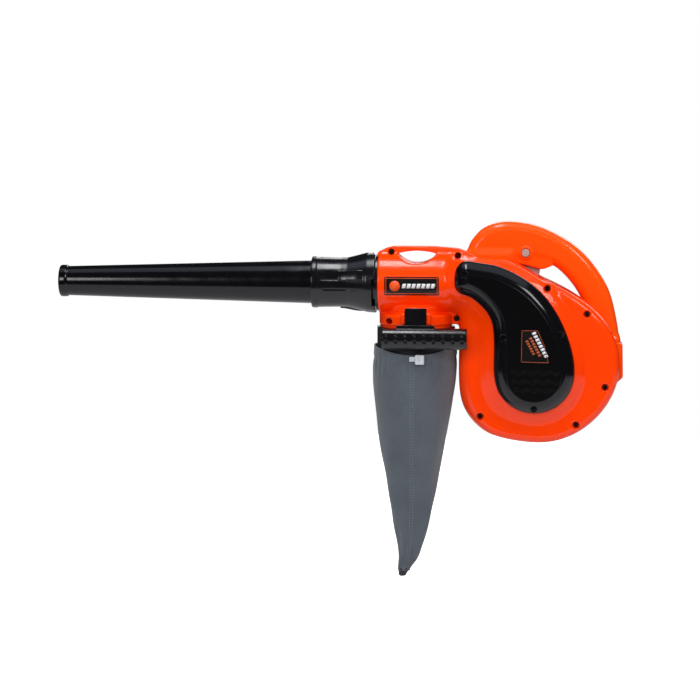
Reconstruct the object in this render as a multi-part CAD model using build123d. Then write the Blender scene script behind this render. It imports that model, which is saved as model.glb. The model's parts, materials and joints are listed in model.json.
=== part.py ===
from build123d import *
import math
import os

# Hand-held electric leaf blower with a vacuum nozzle and a dust bag.
# Modelled about the fan: fan axis = Y through X 0, Z 0.  The nozzle points along -X, the duct
# cover faces -Y, the motor lies towards +Y, the handle is on top.  Everything is written with
# the origin moved to the middle of the hand grip.  Millimetres.

# ---------------------------------------------------------------- driving dimensions
WALL = 2.5                      # moulded wall of the housing
FIT = 0.4                       # clearance between pieces that move past each other

# housing, front to back
RING_Y = -28.0                  # flat front of the fan scroll
DOME_Y = -37.0                  # raised seat of the duct cover
COVER_Y = -55.0                 # front of the duct cover
SCROLL_BACK_Y = 30.0            # back of the fan scroll
EDGE_ROUND = 6.0                # rounding of the scroll's outer edge
DOME_GROW = 13.0                # how far the seat stands out round the duct cover
DUCT_WALL = 2.2
COVER_STEP = 4.0                # height of the cover's raised top

# neck (the tee between nozzle, scroll and bag)
NECK_Z = 100.0                  # height of the nozzle axis above the fan axis
NECK_R = 34.5
NECK_LEFT = -179.0
NECK_RIGHT = -80.0
RAIL_HALF = 8.0                 # half thickness of the hang rail and of the screw web
HANG_X = -134.8                 # middle of the hang hole
HANG_HALF = 22.2
HANG_CORNER_Z = 133.7
HANG_LOW_Z = 122.7
HANG_TOP_Z = 136.8

# bag spout below the neck
SPOUT_X = -136.0
SPOUT_R = 41.0
COLUMN_R = 31.5                 # the passage from the neck down to the spout
FLANGE_R = 42.2
FLANGE_TOP = 65.0
FLANGE_LOW = 52.0
SPOUT_LOW = 30.0

# nozzle
TIP_X = -551.0
TIP_R = 18.4
TIP_BORE = 15.5
TUBE_TIP_R = 17.0
TUBE_ROOT_R = 24.9
TUBE_ROOT_X = -250.0
COLLAR_LEFT = -256.0
COLLAR_RIGHT = -182.0

# fan and motor
FAN_R = 60.0
FAN_FRONT = -19.0
FAN_BACK = 18.0
FAN_EYE_R = 30.0
BLADES = 9
SHAFT_R = 4.0
BARREL_R = 53.0
BARREL_BACK = 110.0
STACK_FRONT = 54.0              # stator and armature laminations
STACK_BACK = 90.0
ARMATURE_R = 18.0
AIR_GAP = 0.6
COMMUTATOR_R = 10.5

# handle
HANDLE_FRONT = 30.0
HANDLE_BACK = 64.0
HANDLE_MID = 47.0
TRIGGER_HALF = 8.0              # half width of the trigger
TRIGGER_PIVOT = (-21.0, 124.5)
LOCK_X = -11.0
LOCK_Z = 133.0
LOCK_R = 4.6

# bag and latch
BAG_COLLAR_R = 44.8
BAG_COLLAR_BORE = 42.0
BAG_COLLAR_TOP = 50.0
BAG_COLLAR_LOW = -4.0
BAG_WALL = 1.2
LATCH_PIVOT_Y = -49.5
LATCH_PIVOT_Z = 50.5
LATCH_X = -133.9                # middle of the latch tab
GRIP_LEFT = -171.8
GRIP_RIGHT = -75.6

ORIGIN = Vector(42.0, HANDLE_MID, 122.0)     # middle of the hand grip

os.makedirs("parts", exist_ok=True)


# ---------------------------------------------------------------- small helpers
def slab(face, y_from, y_to):
    """A face drawn in X and Z, made solid from y_from to y_to."""
    return Pos(0, y_from, 0) * extrude(Plane.XZ * face, amount=y_to - y_from, dir=(0, 1, 0))


def rod_y(radius, y_from, y_to, x=0.0, z=0.0):
    """A round bar along Y."""
    bar = Rot(90, 0, 0) * Cylinder(radius, y_to - y_from)
    return Pos(x, (y_from + y_to) / 2, z) * bar


def rod_x(radius, x_from, x_to, y=0.0, z=0.0):
    """A round bar along X."""
    bar = Rot(0, 90, 0) * Cylinder(radius, x_to - x_from)
    return Pos((x_from + x_to) / 2, y, z) * bar


def rod_z(radius, z_from, z_to, x=0.0, y=0.0):
    """A round bar along Z."""
    return Pos(x, y, (z_from + z_to) / 2) * Cylinder(radius, z_to - z_from)


def block(x_from, x_to, y_from, y_to, z_from, z_to):
    """A box by its limits."""
    middle = Pos((x_from + x_to) / 2, (y_from + y_to) / 2, (z_from + z_to) / 2)
    return middle * Box(x_to - x_from, y_to - y_from, z_to - z_from)


def turned_x(points, z):
    """A solid of revolution about the X direction at height z, from (x, radius) points."""
    profile = make_face(Polyline(*points, close=True))
    return Pos(0, 0, z) * revolve(Plane.XZ * profile, axis=Axis.X)


def joined(pieces):
    """All the pieces fused into one."""
    result = pieces[0]
    for piece in pieces[1:]:
        result = result + piece
    return result


def front_edges(solid, y, tolerance=0.05):
    """The edges of a solid that lie in the plane at y."""
    return [e for e in solid.edges()
            if abs(e.bounding_box().min.Y - y) < tolerance and abs(e.bounding_box().max.Y - y) < tolerance]


def save(name, shape):
    """Write one node, with the origin moved to the hand grip."""
    moved = Pos(-ORIGIN.X, -ORIGIN.Y, -ORIGIN.Z) * shape
    solids = moved.solids()
    export_step(solids[0] if len(solids) == 1 else Compound(children=solids), f"parts/{name}.step")


# ---------------------------------------------------------------- outlines in X and Z
def shifted(curve, amount, count=24):
    """A smooth curve beside the given one, to its left in X and Z by amount."""
    spots = []
    for number in range(count + 1):
        place = curve @ (number / count)
        along = curve % (number / count)
        spots.append((place.X - along.Y * amount, place.Y + along.X * amount))
    if curve.is_closed:
        return Spline(*spots[:-1], periodic=True)
    return Spline(*spots, tangents=[curve % 0, curve % 1])


def closed_face(spots, grow, count=48):
    """The face inside a smooth closed line, given clockwise, grown by grow."""
    line = Spline(*spots, periodic=True)
    return make_face(shifted(line, grow, count) if grow else line)


def scroll_face(grow=0.0):
    """The fan scroll, with its left side ending inside the neck."""
    return closed_face([
        (-70, 128.5), (-16, 117.5), (44, 89), (84, 52), (96.8, 6), (79, -43), (22, -78.5),
        (-43, -68), (-80, -24), (-85.7, 24), (-86.5, 62), (-88, 100), (-83, 124)], grow)


def round_end(radius):
    """Points round the lower half of a circle about the fan axis, clockwise from +X."""
    return [(radius * math.cos(math.radians(a)), -radius * math.sin(math.radians(a)))
            for a in range(0, 181, 36)]


def duct_face(grow=0.0):
    """The J shape of the duct cover: round over the fan eye, hooked to the neck."""
    upper = [(-82, 125.9), (-66, 125.8), (-46.1, 122.6), (-5.8, 103.3), (26.7, 66)]
    lower = [(-45.6, 24), (-46.8, 48), (-56, 71.6), (-72, 86.4), (-82, 89.6), (-88.2, 93), (-90.4, 101),
             (-89.4, 117.5)]
    return closed_face(upper + round_end(45.5) + lower, grow, 72)


def duct_top_face(grow=0.0):
    """The raised flat top of the duct cover, inside its sloping rim."""
    upper = [(-76, 113.5), (-62, 113.5), (-46, 109.5), (-14, 92), (15, 58)]
    lower = [(-33.4, 26), (-35.5, 52), (-46, 78), (-61, 94), (-75, 101), (-79.5, 107)]
    return closed_face(upper + round_end(33.0) + lower, grow, 72)


def lens_face():
    """The hang hole through the rail."""
    low = ThreePointArc((HANG_X - HANG_HALF, HANG_CORNER_Z), (HANG_X, HANG_LOW_Z),
                        (HANG_X + HANG_HALF, HANG_CORNER_Z))
    high = ThreePointArc((HANG_X + HANG_HALF, HANG_CORNER_Z), (HANG_X, HANG_TOP_Z),
                         (HANG_X - HANG_HALF, HANG_CORNER_Z))
    return make_face(Curve() + low + high)


def rail_face():
    """The fin on top of the neck that carries the hang hole and two screws."""
    return make_face(Polyline(
        (NECK_LEFT, 120), (NECK_LEFT, 133.4), (-171, 139.6), (-159.8, 142.3), (-114.6, 142.1),
        (-88, 139.9), (-77.8, 136), (-70, 128.5), (-84, 112), close=True))


def grip_face():
    """The handle arch between its outer and its inner line."""
    outer = Spline((-78, 131.9), (-71, 150.8), (-48.3, 167), (-17.1, 168.2), (24.4, 155),
                   (61.9, 126.6), (85, 91), (95.8, 49.5), (98.4, 28), tangents=[(0, 1), (0.06, -1)])
    inner = Spline((60, 50), (52.1, 82.5), (37.3, 103.6), (19.5, 118.4), tangents=[(0, 1), (-1, 0.6)])
    pod = [inner @ 1, (12, 114.4), (7.8, 113.4), (-26, 123), (-26, 112), (-78, 112), outer @ 0]
    foot = [outer @ 1, (90, 20), (65, 20), inner @ 0]
    return make_face(Curve() + [outer, Polyline(*foot), inner, Polyline(*pod)])


def grip_hollow_face():
    """The space inside the arch, in straight runs between its ribs."""
    return make_face(Polyline(
        (-74, 132), (-66, 147.5), (-47, 161.5), (-18, 163), (22, 150.5), (57.5, 123), (80, 89), (91, 49),
        (93, 23), (66, 23), (64, 51), (56.5, 84.5), (41, 107), (22.5, 121.5), (14, 117.5), (7.8, 116.5),
        (-29, 126.5), (-29, 115), (-74, 115), close=True))


def body_face(shrink=0.0):
    """The motor end of the handle moulding: barrel, two arms and the cord inlet block."""
    left_arm = make_face(Polyline((-78, 131.9), (-78, 112), (-62, 70), (-50, 15), (-10, 30),
                                  (-14, 58), (-26, 78), (-26, 131.9), close=True))
    left_arm = offset(left_arm, amount=-shrink) if shrink else left_arm
    right_arm = Pos((133 - shrink) / 2, 10) * Rectangle(63 - shrink, 50 - 2 * shrink)
    inlet = Pos(91.6, 6) * Rectangle(22 - 2 * shrink, 46 - 2 * shrink)
    return Circle(BARREL_R - shrink) + left_arm + right_arm + inlet


def handle_face():
    """The whole side outline of the handle and motor housing."""
    return grip_face() + body_face()


# ---------------------------------------------------------------- fasteners
def screw(x, y, z, length, facing, head_r=3.2, shank_r=1.5):
    """A cross-head screw along Y; its head faces -Y (facing -1) or +Y (facing 1)."""
    inward = -facing
    head_end = y + 2.0 * inward
    head = rod_y(head_r, min(y, head_end), max(y, head_end), x, z)
    tip = head_end + length * inward
    shank = rod_y(shank_r, min(head_end, tip), max(head_end, tip), x, z)
    bit = y + 1.2 * inward
    low, high = min(y, bit), max(y, bit)
    slot = block(x - 2.0, x + 2.0, low, high, z - 0.45, z + 0.45)
    cross = block(x - 0.45, x + 0.45, low, high, z - 2.0, z + 2.0)
    return head + shank - slot - cross


def screw_pocket(x, y, z, length, facing, sunk=3.0, head_r=3.6, hole_r=1.6):
    """The counterbore and pilot hole that a screw sits in, from the surface at y."""
    inward = -facing
    floor = y + (sunk + 2.0) * inward
    tip = floor + (length + 1.0) * inward
    bore = rod_y(head_r, min(y, floor), max(y, floor), x, z)
    return bore + rod_y(hole_r, min(floor, tip), max(floor, tip), x, z)


RING_SCREWS = [(14.4, 95.6), (59.3, 66.5), (80.3, -16.7), (47.9, -60.0), (-61.1, -51.3)]
NECK_SCREWS = [(-164.2, 135.6), (-87.8, 131.6), (-89.0, 59.4)]
COVER_SCREWS = [(-79.0, 112.5), (28.5, 45.0), (-35.0, 41.0), (0.0, -39.0)]
HANDLE_SCREWS = [(-62.0, 140.0), (24.0, 141.0), (80.0, 74.0), (91.0, -9.0), (-48.0, 62.0)]
PLATE_SCREWS = [(21.0, 21.0), (-21.0, 21.0), (-21.0, -21.0), (21.0, -21.0)]
VENT_SCREWS = [(36.0, 28.0), (-36.0, 28.0), (-36.0, -28.0), (36.0, -28.0)]
RING_SCREW_LENGTH = 34.0
BOSS_R = 4.6


# ---------------------------------------------------------------- main housing
def lens_trough(extra=0.0):
    """The round underside of the hang hole, as a bar along Y grown by extra."""
    drop = HANG_CORNER_Z - HANG_LOW_Z
    radius = (HANG_HALF ** 2 + drop ** 2) / (2 * drop)
    return rod_y(radius + extra, -60, 60, HANG_X, HANG_LOW_Z + radius)


def housing_outside():
    """Scroll, duct seat, neck, rail, flange and spout as one solid, before it is split."""
    scroll = slab(scroll_face(), RING_Y, SCROLL_BACK_Y)
    scroll = fillet(front_edges(scroll, RING_Y), EDGE_ROUND)
    scroll = fillet(front_edges(scroll, SCROLL_BACK_Y), 3)
    seat = slab(duct_face(DOME_GROW) & scroll_face(-EDGE_ROUND - 1), DOME_Y, RING_Y + 1)
    neck = rod_x(NECK_R, NECK_LEFT, NECK_RIGHT, 0, NECK_Z)
    rail = slab(rail_face(), -RAIL_HALF, RAIL_HALF)
    web = block(-99, -82, -RAIL_HALF, RAIL_HALF, 52.5, 74)
    column = rod_z(COLUMN_R, FLANGE_TOP - 1, NECK_Z, SPOUT_X)
    flange = fillet(rod_z(FLANGE_R, FLANGE_LOW, FLANGE_TOP, SPOUT_X).edges(), 1.5)
    spout = rod_z(SPOUT_R, SPOUT_LOW, FLANGE_LOW + 1, SPOUT_X)
    keeper = block(-151, -117, -46, -36, 57, 70)
    return joined([scroll, seat, neck, rail, web, column, flange, spout, keeper])


def housing_inside():
    """The air space inside the housing."""
    scroll = slab(scroll_face(-WALL), RING_Y + WALL, SCROLL_BACK_Y - WALL)
    seat_outline = duct_face(DOME_GROW - WALL) & scroll_face(-EDGE_ROUND - 1 - WALL)
    seat = slab(seat_outline, DOME_Y + WALL, RING_Y + WALL + 1)
    neck = rod_x(NECK_R - WALL, NECK_LEFT - 1, NECK_RIGHT - WALL, 0, NECK_Z)
    column = rod_z(COLUMN_R - WALL, FLANGE_LOW, NECK_Z, SPOUT_X)
    spout = rod_z(SPOUT_R - WALL, SPOUT_LOW - 1, FLANGE_TOP - WALL, SPOUT_X)
    space = joined([scroll, seat, neck, column, spout])
    return space - lens_trough(WALL)


def housing():
    """The hollow housing with its screw bosses and openings, both halves in one."""
    shell = housing_outside() - slab(lens_face(), -60, 60) - housing_inside()
    for x, z in RING_SCREWS:
        shell = shell + rod_y(BOSS_R, RING_Y + 1, SCROLL_BACK_Y - 1, x, z)
    for x, z in RING_SCREWS:
        shell = shell - screw_pocket(x, RING_Y, z, RING_SCREW_LENGTH, -1)
    for x, z in NECK_SCREWS:
        shell = shell - screw_pocket(x, -RAIL_HALF, z, 10, -1, sunk=1.0)
    for x, z in COVER_SCREWS:
        shell = shell + rod_y(BOSS_R, DOME_Y + 0.5, DOME_Y + 9, x, z)
        shell = shell - rod_y(1.6, DOME_Y - 1, DOME_Y + 8, x, z)
    eye = rod_y(FAN_EYE_R, DOME_Y - 1, RING_Y + 5)
    duct_entry = block(-72, -56, DOME_Y - 1, RING_Y + 5, 95, 117)
    hub_hole = rod_y(15, SCROLL_BACK_Y - 5, SCROLL_BACK_Y + 1)
    return shell - eye - duct_entry - hub_hole


def housing_halves():
    whole = housing()
    front = whole & block(-300, 300, -100, 0, -200, 300)
    rear = whole & block(-300, 300, 0, 100, -200, 300)
    return front, rear


def duct_cover():
    """The J-shaped cover: a bevelled rim, a raised flat top, hollow behind."""
    rim = slab(duct_face(), COVER_Y + COVER_STEP, DOME_Y)
    rim = chamfer(front_edges(rim, COVER_Y + COVER_STEP), 4)
    top = slab(duct_top_face(), COVER_Y, COVER_Y + COVER_STEP + 1)
    top = chamfer(front_edges(top, COVER_Y), 2)
    rim_hollow = slab(duct_face(-4), COVER_Y + COVER_STEP + DUCT_WALL, DOME_Y)
    skirt_hollow = slab(duct_face(-DUCT_WALL), COVER_Y + COVER_STEP + 4 + DUCT_WALL, DOME_Y)
    top_hollow = slab(duct_top_face(-DUCT_WALL), COVER_Y + DUCT_WALL, DOME_Y)
    cover = rim + top - rim_hollow - skirt_hollow - top_hollow
    for x, z in COVER_SCREWS:
        cover = cover + (rod_y(BOSS_R, COVER_Y, DOME_Y, x, z) & slab(duct_face(-1), COVER_Y + 6, DOME_Y))
    for x, z in COVER_SCREWS:
        cover = cover - rod_y(1.7, COVER_Y - 1, DOME_Y + 1, x, z)
        cover = cover - rod_y(3.8, COVER_Y - 1, COVER_Y + 10, x, z)
    return cover


def label_plate():
    """A blank five-sided plate on the cover."""
    outline = make_face(Polyline((-15, 51), (4.5, 51), (12.4, 33), (17.4, 12.6), (-15.5, 13.4), close=True))
    return slab(fillet(outline.vertices(), 1.5), COVER_Y - 0.5, COVER_Y)


def badge_plate():
    """A blank plate bent round the front of the neck."""
    plate = block(-170.5, -108.5, -NECK_R - 1, -20, 87.5, 108.5)
    plate = fillet(plate.edges().filter_by(Axis.Y), 1.5)
    return plate & (rod_x(NECK_R + 0.7, -175, -100, 0, NECK_Z) - rod_x(NECK_R, -176, -99, 0, NECK_Z))


def air_divider():
    """A vane that leads the nozzle's air to the front duct and the fan's air to the bag."""
    bore = rod_x(NECK_R - WALL - 0.1, -169, NECK_RIGHT - WALL - 2, 0, NECK_Z)
    line = Spline((-169, 24), (-135, 12), (-104, -10), (-84, -22))
    band = make_face(Curve() + line + Polyline((-84, -22), (-84, -24), (-104, -12.2), (-135, 9.8),
                                               (-169, 21.8), (-169, 24)))
    vane = Pos(0, 0, 70) * extrude(band, amount=60)
    front = make_face(Curve() + line + Polyline((-84, -22), (-84, -40), (-169, -40), (-169, 24)))
    floor = Pos(0, 0, 72) * extrude(front, amount=2)
    return ((vane + floor) & bore) - lens_trough(WALL + 0.1)


def mouth_ring():
    """The black spigot in the mouth of the neck that the nozzle pushes onto."""
    return turned_x([(-199, 25.5), (-199, 27.2), (-197.5, 28.0), (-182, 28.0), (-182, 32.5), (-179, 32.5),
                     (-179, 31.9), (-171, 31.9), (-171, 25.5)], NECK_Z)


def mouth_seal():
    return turned_x([(-200, 25.5), (-200, 27.0), (-199, 27.0), (-199, 25.5)], NECK_Z)


# ---------------------------------------------------------------- nozzle
def nozzle_tube():
    """The long tapered tube with a rolled lip at the tip."""
    lip = TIP_X + 10
    root_bore = TUBE_ROOT_R - 2
    tube = turned_x([
        (TIP_X, TIP_BORE), (TIP_X, TIP_R - 1.2), (TIP_X + 1.2, TIP_R), (lip - 2.5, TIP_R), (lip, TUBE_TIP_R),
        (TUBE_ROOT_X, TUBE_ROOT_R), (-204, TUBE_ROOT_R), (-204, 27.2), (-200.2, 27.2), (-200.2, root_bore),
        (TUBE_ROOT_X, root_bore), (TIP_X + 14, TIP_BORE)], NECK_Z)
    return tube


def nozzle_collar():
    """The flared ring that clamps the tube to the mouth, with grip pads round the flare."""
    outside = [(COLLAR_LEFT, 25.4), (COLLAR_LEFT, 28.2), (COLLAR_LEFT + 2, 29.6), (COLLAR_LEFT + 5, 29.6),
               (COLLAR_LEFT + 7, 28.9), (-218, 28.4), (-204, 31.2), (-192, 33.8), (COLLAR_RIGHT, 35.2)]
    inside = [(COLLAR_RIGHT, 33.2), (-190, 31.0), (-193, 28.5), (-201, 28.5), (-201, 27.6), (-208, 27.6),
              (-208, 25.4)]
    collar = turned_x(outside + inside, NECK_Z)
    pads = []
    for number in range(6):
        pad = block(-222, -194, -5, 5, 27.8, 32.0)
        pad = chamfer(pad.faces().sort_by(Axis.X)[-1].edges().sort_by(Axis.Z)[-1], 3)
        pads.append(Pos(0, 0, NECK_Z) * Rot(60 * number + 30, 0, 0) * pad)
    bore = rod_x(27.5, -230, -190, 0, NECK_Z)
    return joined([collar] + [pad - bore - rod_x(29.2, -201, -180, 0, NECK_Z) for pad in pads])


# ---------------------------------------------------------------- bag unit
BAG_SECTIONS = [                # height, middle X, half width in X, half depth in Y
    (24, -136.4, 47.4, 47.0), (14, -136.4, 46.6, 46.4), (-6, -137.2, 48.6, 47.0), (-45, -138.8, 44.4, 42.0),
    (-95, -139.0, 36.6, 33.0), (-145, -139.4, 26.8, 22.0), (-182, -140.9, 19.2, 14.0),
    (-212, -143.2, 12.4, 8.5), (-233, -149.0, 7.0, 4.5)]


def bag_form(sections, inset):
    """The bag's tapering form through the given sections."""
    rings = [Pos(x, 0, z) * Ellipse(wide - inset, deep - inset) for z, x, wide, deep in sections]
    return loft(rings, ruled=True)


def dust_bag():
    mouth = (BAG_SECTIONS[0][0] + 6, *BAG_SECTIONS[0][1:])
    inside = bag_form([mouth] + BAG_SECTIONS[:-1], BAG_WALL)
    return bag_form(BAG_SECTIONS, 0) - inside


def bag_tip():
    """The clip that closes the lower end of the bag."""
    rings = [Pos(-149.0, 0, -233) * Ellipse(7.2, 4.7), Pos(-151.5, 0, -242.4) * Ellipse(3.6, 3.0)]
    return loft(rings)


def bag_collar():
    """The tube that slides over the spout, with two ears for the latch."""
    tube = rod_z(BAG_COLLAR_R, BAG_COLLAR_LOW, BAG_COLLAR_TOP, SPOUT_X)
    ears = []
    for x in (LATCH_X - 20.2, LATCH_X + 16.2):
        ears.append(block(x, x + 4, -52.5, -38, 46, 54))
    collar = joined([tube] + ears) - rod_z(BAG_COLLAR_BORE, BAG_COLLAR_LOW - 1, BAG_COLLAR_TOP + 8, SPOUT_X)
    collar = collar - rod_x(1.5, LATCH_X - 30, LATCH_X + 30, LATCH_PIVOT_Y, LATCH_PIVOT_Z)
    return collar - block(-180, -90, -46, -30, BAG_COLLAR_TOP, 56) - rod_z(43.4, 50, 56, SPOUT_X)


def cable_tie():
    """The tie round the bag's mouth: strap, head and cut end."""
    strap = rod_z(48.2, 12, 16.8, -136.4) - rod_z(47.2, 11, 18, -136.4)
    head = fillet(block(-134.5, -124, -52.8, -47.0, 9.9, 20.9).edges().filter_by(Axis.Y), 1.5)
    stub = block(-140.5, -134.0, -49.6, -47.5, 14, 18.4)
    return strap + head + stub


def latch_pin():
    return rod_x(1.5, LATCH_X - 20.2, LATCH_X + 20.2, LATCH_PIVOT_Y, LATCH_PIVOT_Z)


def latch_spring():
    """The torsion spring on the middle of the pin: close turns and two legs."""
    coils = []
    for number in range(9):
        ring = Rot(0, 90, 0) * Torus(2.6, 0.55)
        coils.append(Pos(LATCH_X - 4 + number, LATCH_PIVOT_Y, LATCH_PIVOT_Z) * ring)
    leg = block(LATCH_X - 4.5, LATCH_X - 3.5, LATCH_PIVOT_Y + 2.1, LATCH_PIVOT_Y + 3.1, 41, LATCH_PIVOT_Z)
    return joined(coils + [leg])


def bag_latch():
    """The squeeze lever: a tab over the keeper, a pivot barrel and the hollow grip bar."""
    middle_z = 39.2
    outer = Pos(-50.5, middle_z) * Circle(12.2)
    inner = Pos(-50.5, middle_z) * Circle(9.8)
    front_half = Pos(-60.5, middle_z) * Rectangle(20, 30)
    length = GRIP_RIGHT - GRIP_LEFT
    bar = Pos(GRIP_LEFT, 0, 0) * extrude(Plane.YZ * ((outer - inner) & front_half), amount=length)
    cap = extrude(Plane.YZ * (outer & front_half), amount=2)
    caps = Pos(GRIP_LEFT, 0, 0) * cap + Pos(GRIP_RIGHT - 2, 0, 0) * cap
    barrel = rod_x(3.2, LATCH_X - 15.6, LATCH_X + 15.6, LATCH_PIVOT_Y, LATCH_PIVOT_Z)
    tab = fillet(block(-146.4, -121.4, -52.0, -48.6, 49, 74).edges().filter_by(Axis.X), 1.2)
    lever = joined([bar, caps, barrel, tab])
    for x in (LATCH_X - 18.2, LATCH_X + 18.2):
        lever = lever - block(x - 2.7, x + 2.7, -58, -40, 42, 60)
    lever = lever - block(LATCH_X - 5, LATCH_X + 5, -52.8, -40, 40, 54.2)
    return lever - rod_x(1.56, LATCH_X - 30, LATCH_X + 30, LATCH_PIVOT_Y, LATCH_PIVOT_Z)


# ---------------------------------------------------------------- fan and motor
def impeller():
    """An open fan: back plate, hub and backward-curved blades."""
    plate = rod_y(FAN_R, FAN_BACK - 2, FAN_BACK)
    hub = rod_y(12, -6, FAN_BACK + 4)
    fan = plate + hub
    for number in range(BLADES):
        turn = 360 / BLADES * number
        spots = [(22, 0), (41, -17), (FAN_R - 1, -42)]
        line = [(r * math.cos(math.radians(a)), r * math.sin(math.radians(a))) for r, a in spots]
        back = [(r * math.cos(math.radians(a - 1.5 - 40 / r)), r * math.sin(math.radians(a - 1.5 - 40 / r)))
                for r, a in spots]
        edges = [ThreePointArc(*line), Line(line[2], back[2]), ThreePointArc(*reversed(back)),
                 Line(back[0], line[0])]
        blade = slab(make_face(Curve() + edges), FAN_FRONT, FAN_BACK - 1)
        fan = fan + Rot(0, turn, 0) * blade
    return fan - rod_y(SHAFT_R, -40, 60)


def motor_shaft():
    return joined([rod_y(SHAFT_R, -20, 103), rod_y(3.0, -26, -20), rod_y(3.5, 103, 110)])


def armature_core():
    """A laminated pack with slots for the winding."""
    core = rod_y(ARMATURE_R, STACK_FRONT, STACK_BACK)
    for number in range(12):
        slot = block(-1.6, 1.6, STACK_FRONT - 1, STACK_BACK + 1, 9, 16.4)
        mouth = block(-0.8, 0.8, STACK_FRONT - 1, STACK_BACK + 1, 16, 20)
        core = core - Rot(0, 30 * number, 0) * (slot + mouth)
    return core - rod_y(SHAFT_R, 0, 120)


def armature_winding():
    """Wire in the slots and the two end turns."""
    front = fillet(rod_y(16.6, STACK_FRONT - 8, STACK_FRONT).edges(), 2)
    back = fillet(rod_y(16.6, STACK_BACK, STACK_BACK + 5.6).edges(), 2)
    winding = front + back
    for number in range(12):
        bar = block(-1.4, 1.4, STACK_FRONT - 0.5, STACK_BACK + 0.5, 9.2, 16.2)
        winding = winding + Rot(0, 30 * number, 0) * bar
    return winding - rod_y(SHAFT_R, 0, 120)


def commutator():
    body = rod_y(COMMUTATOR_R, STACK_BACK + 5.6, STACK_BACK + 12.5)
    for number in range(24):
        body = body - Rot(0, 15 * number, 0) * block(-0.2, 0.2, STACK_BACK + 5, STACK_BACK + 13, 9.6, 11)
    return body - rod_y(SHAFT_R, 0, 120)


def bearing(outer_r, bore_r, y_from, y_to):
    """A ball bearing as its two races and the shielded middle, in one ring."""
    ring = rod_y(outer_r, y_from, y_to) - rod_y(bore_r, y_from - 1, y_to + 1)
    shield = rod_y(outer_r - 1.8, y_from - 1, y_from + 0.4) - rod_y(bore_r + 1.5, y_from - 2, y_from + 1)
    return ring - shield


def bearing_plate():
    """The metal plate that holds the front bearing on the motor side of the scroll."""
    plate = rod_y(34, HANDLE_FRONT + WALL, HANDLE_FRONT + WALL + 2)
    plate = plate + rod_y(13.5, HANDLE_FRONT + WALL, 42)
    plate = plate - rod_y(11, 34, 43) - rod_y(8, 30, 43)
    for x, z in PLATE_SCREWS:
        plate = plate - rod_y(2.1, 30, 40, x, z)
    return plate


def stator_core():
    """The stationary lamination pack with its bore and winding windows."""
    outline = RectangleRounded(70, 74, 14)
    core = slab(outline, STACK_FRONT, STACK_BACK) - rod_y(ARMATURE_R + AIR_GAP, 0, 120)
    for x in (-25.5, 25.5):
        for z in (-13, 13):
            core = core - block(x - 4.5, x + 4.5, 50, 95, z - 5, z + 5)
    for z in (-31, 31):
        core = core - rod_y(2.2, 50, 95, 0, z)
    return core


def field_coils():
    """Two saddle coils, above and below the armature."""
    coils = []
    for side in (1, -1):
        legs = [block(x - 4, x + 4, STACK_FRONT - 5, STACK_BACK + 5, 8.5, 17.5) for x in (-25.5, 25.5)]
        arch = rod_y(31, STACK_FRONT - 6, STACK_FRONT - 0.2) - rod_y(21.5, 0, 120)
        arch = arch & block(-40, 40, 0, 120, 8.5, 40)
        back_arch = Pos(0, STACK_BACK - STACK_FRONT + 6.4, 0) * arch
        coil = joined(legs + [arch, back_arch]) - block(-6.5, 6.5, 0, 120, 27.5, 40)
        coils.append(coil if side == 1 else Rot(0, 180, 0) * coil)
    return Compound(children=coils)


def rear_bearing_bridge():
    """The bar across the motor's end that carries the rear bearing and the brush holders."""
    bar = block(-9, 9, 105, 107.5, -36, 36)
    boss = rod_y(12, 103, 110)
    bridge = bar + boss - rod_y(9.5, 103.8, 111) - rod_y(6.5, 100, 111)
    legs = [block(-6, 6, STACK_BACK + 0.2, 105, z - 3.4, z + 3.4) for z in (-31.2, 31.2)]
    bridge = joined([bridge] + legs)
    for z in (-31, 31):
        bridge = bridge - rod_y(2.2, 80, 112, 0, z)
    return bridge


def brush_holders():
    """Two square brass tubes either side of the commutator."""
    holders = []
    for side in (-1, 1):
        low, high = sorted((side * 13.0, side * 46.0))
        tube = block(low, high, STACK_BACK + 6.0, STACK_BACK + 12.6, -4.5, 4.5)
        holders.append(tube - block(low - 1, high + 1, STACK_BACK + 6.7, STACK_BACK + 11.9, -3.6, 3.6))
    return Compound(children=holders)


def carbon_brushes():
    brushes = []
    for side in (-1, 1):
        low, high = sorted((side * (COMMUTATOR_R + 0.4), side * 28.0))
        brushes.append(block(low, high, STACK_BACK + 6.9, STACK_BACK + 11.7, -3.4, 3.4))
    return Compound(children=brushes)


def brush_caps():
    """Slotted caps in the sides of the barrel, behind each brush."""
    caps = []
    for side in (-1, 1):
        low, high = sorted((side * 46.2, side * 54.0))
        cap = rod_x(6.5, low, high, STACK_BACK + 9.3)
        slot_low, slot_high = sorted((side * 53.0, side * 55.0))
        caps.append(cap - block(slot_low, slot_high, STACK_BACK, STACK_BACK + 18, -0.7, 0.7))
    return Compound(children=caps)


def stator_screws():
    return Compound(children=[screw(0, 109.5, z, 52, 1, head_r=3.6, shank_r=1.9) for z in (-31, 31)])


# ---------------------------------------------------------------- handle and motor housing
def handle_hollow(y_from, y_to):
    """The space inside the handle moulding."""
    return slab(grip_hollow_face() + body_face(WALL), y_from, y_to)


def trigger_gap():
    """The slot under the pod that the trigger moves in."""
    return block(-25.4, 8.6, HANDLE_MID - TRIGGER_HALF - 0.6, HANDLE_MID + TRIGGER_HALF + 0.6, 108, 126)


def handle_bosses(y_from, y_to):
    return joined([rod_y(BOSS_R, y_from, y_to, x, z) for x, z in HANDLE_SCREWS])


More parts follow.
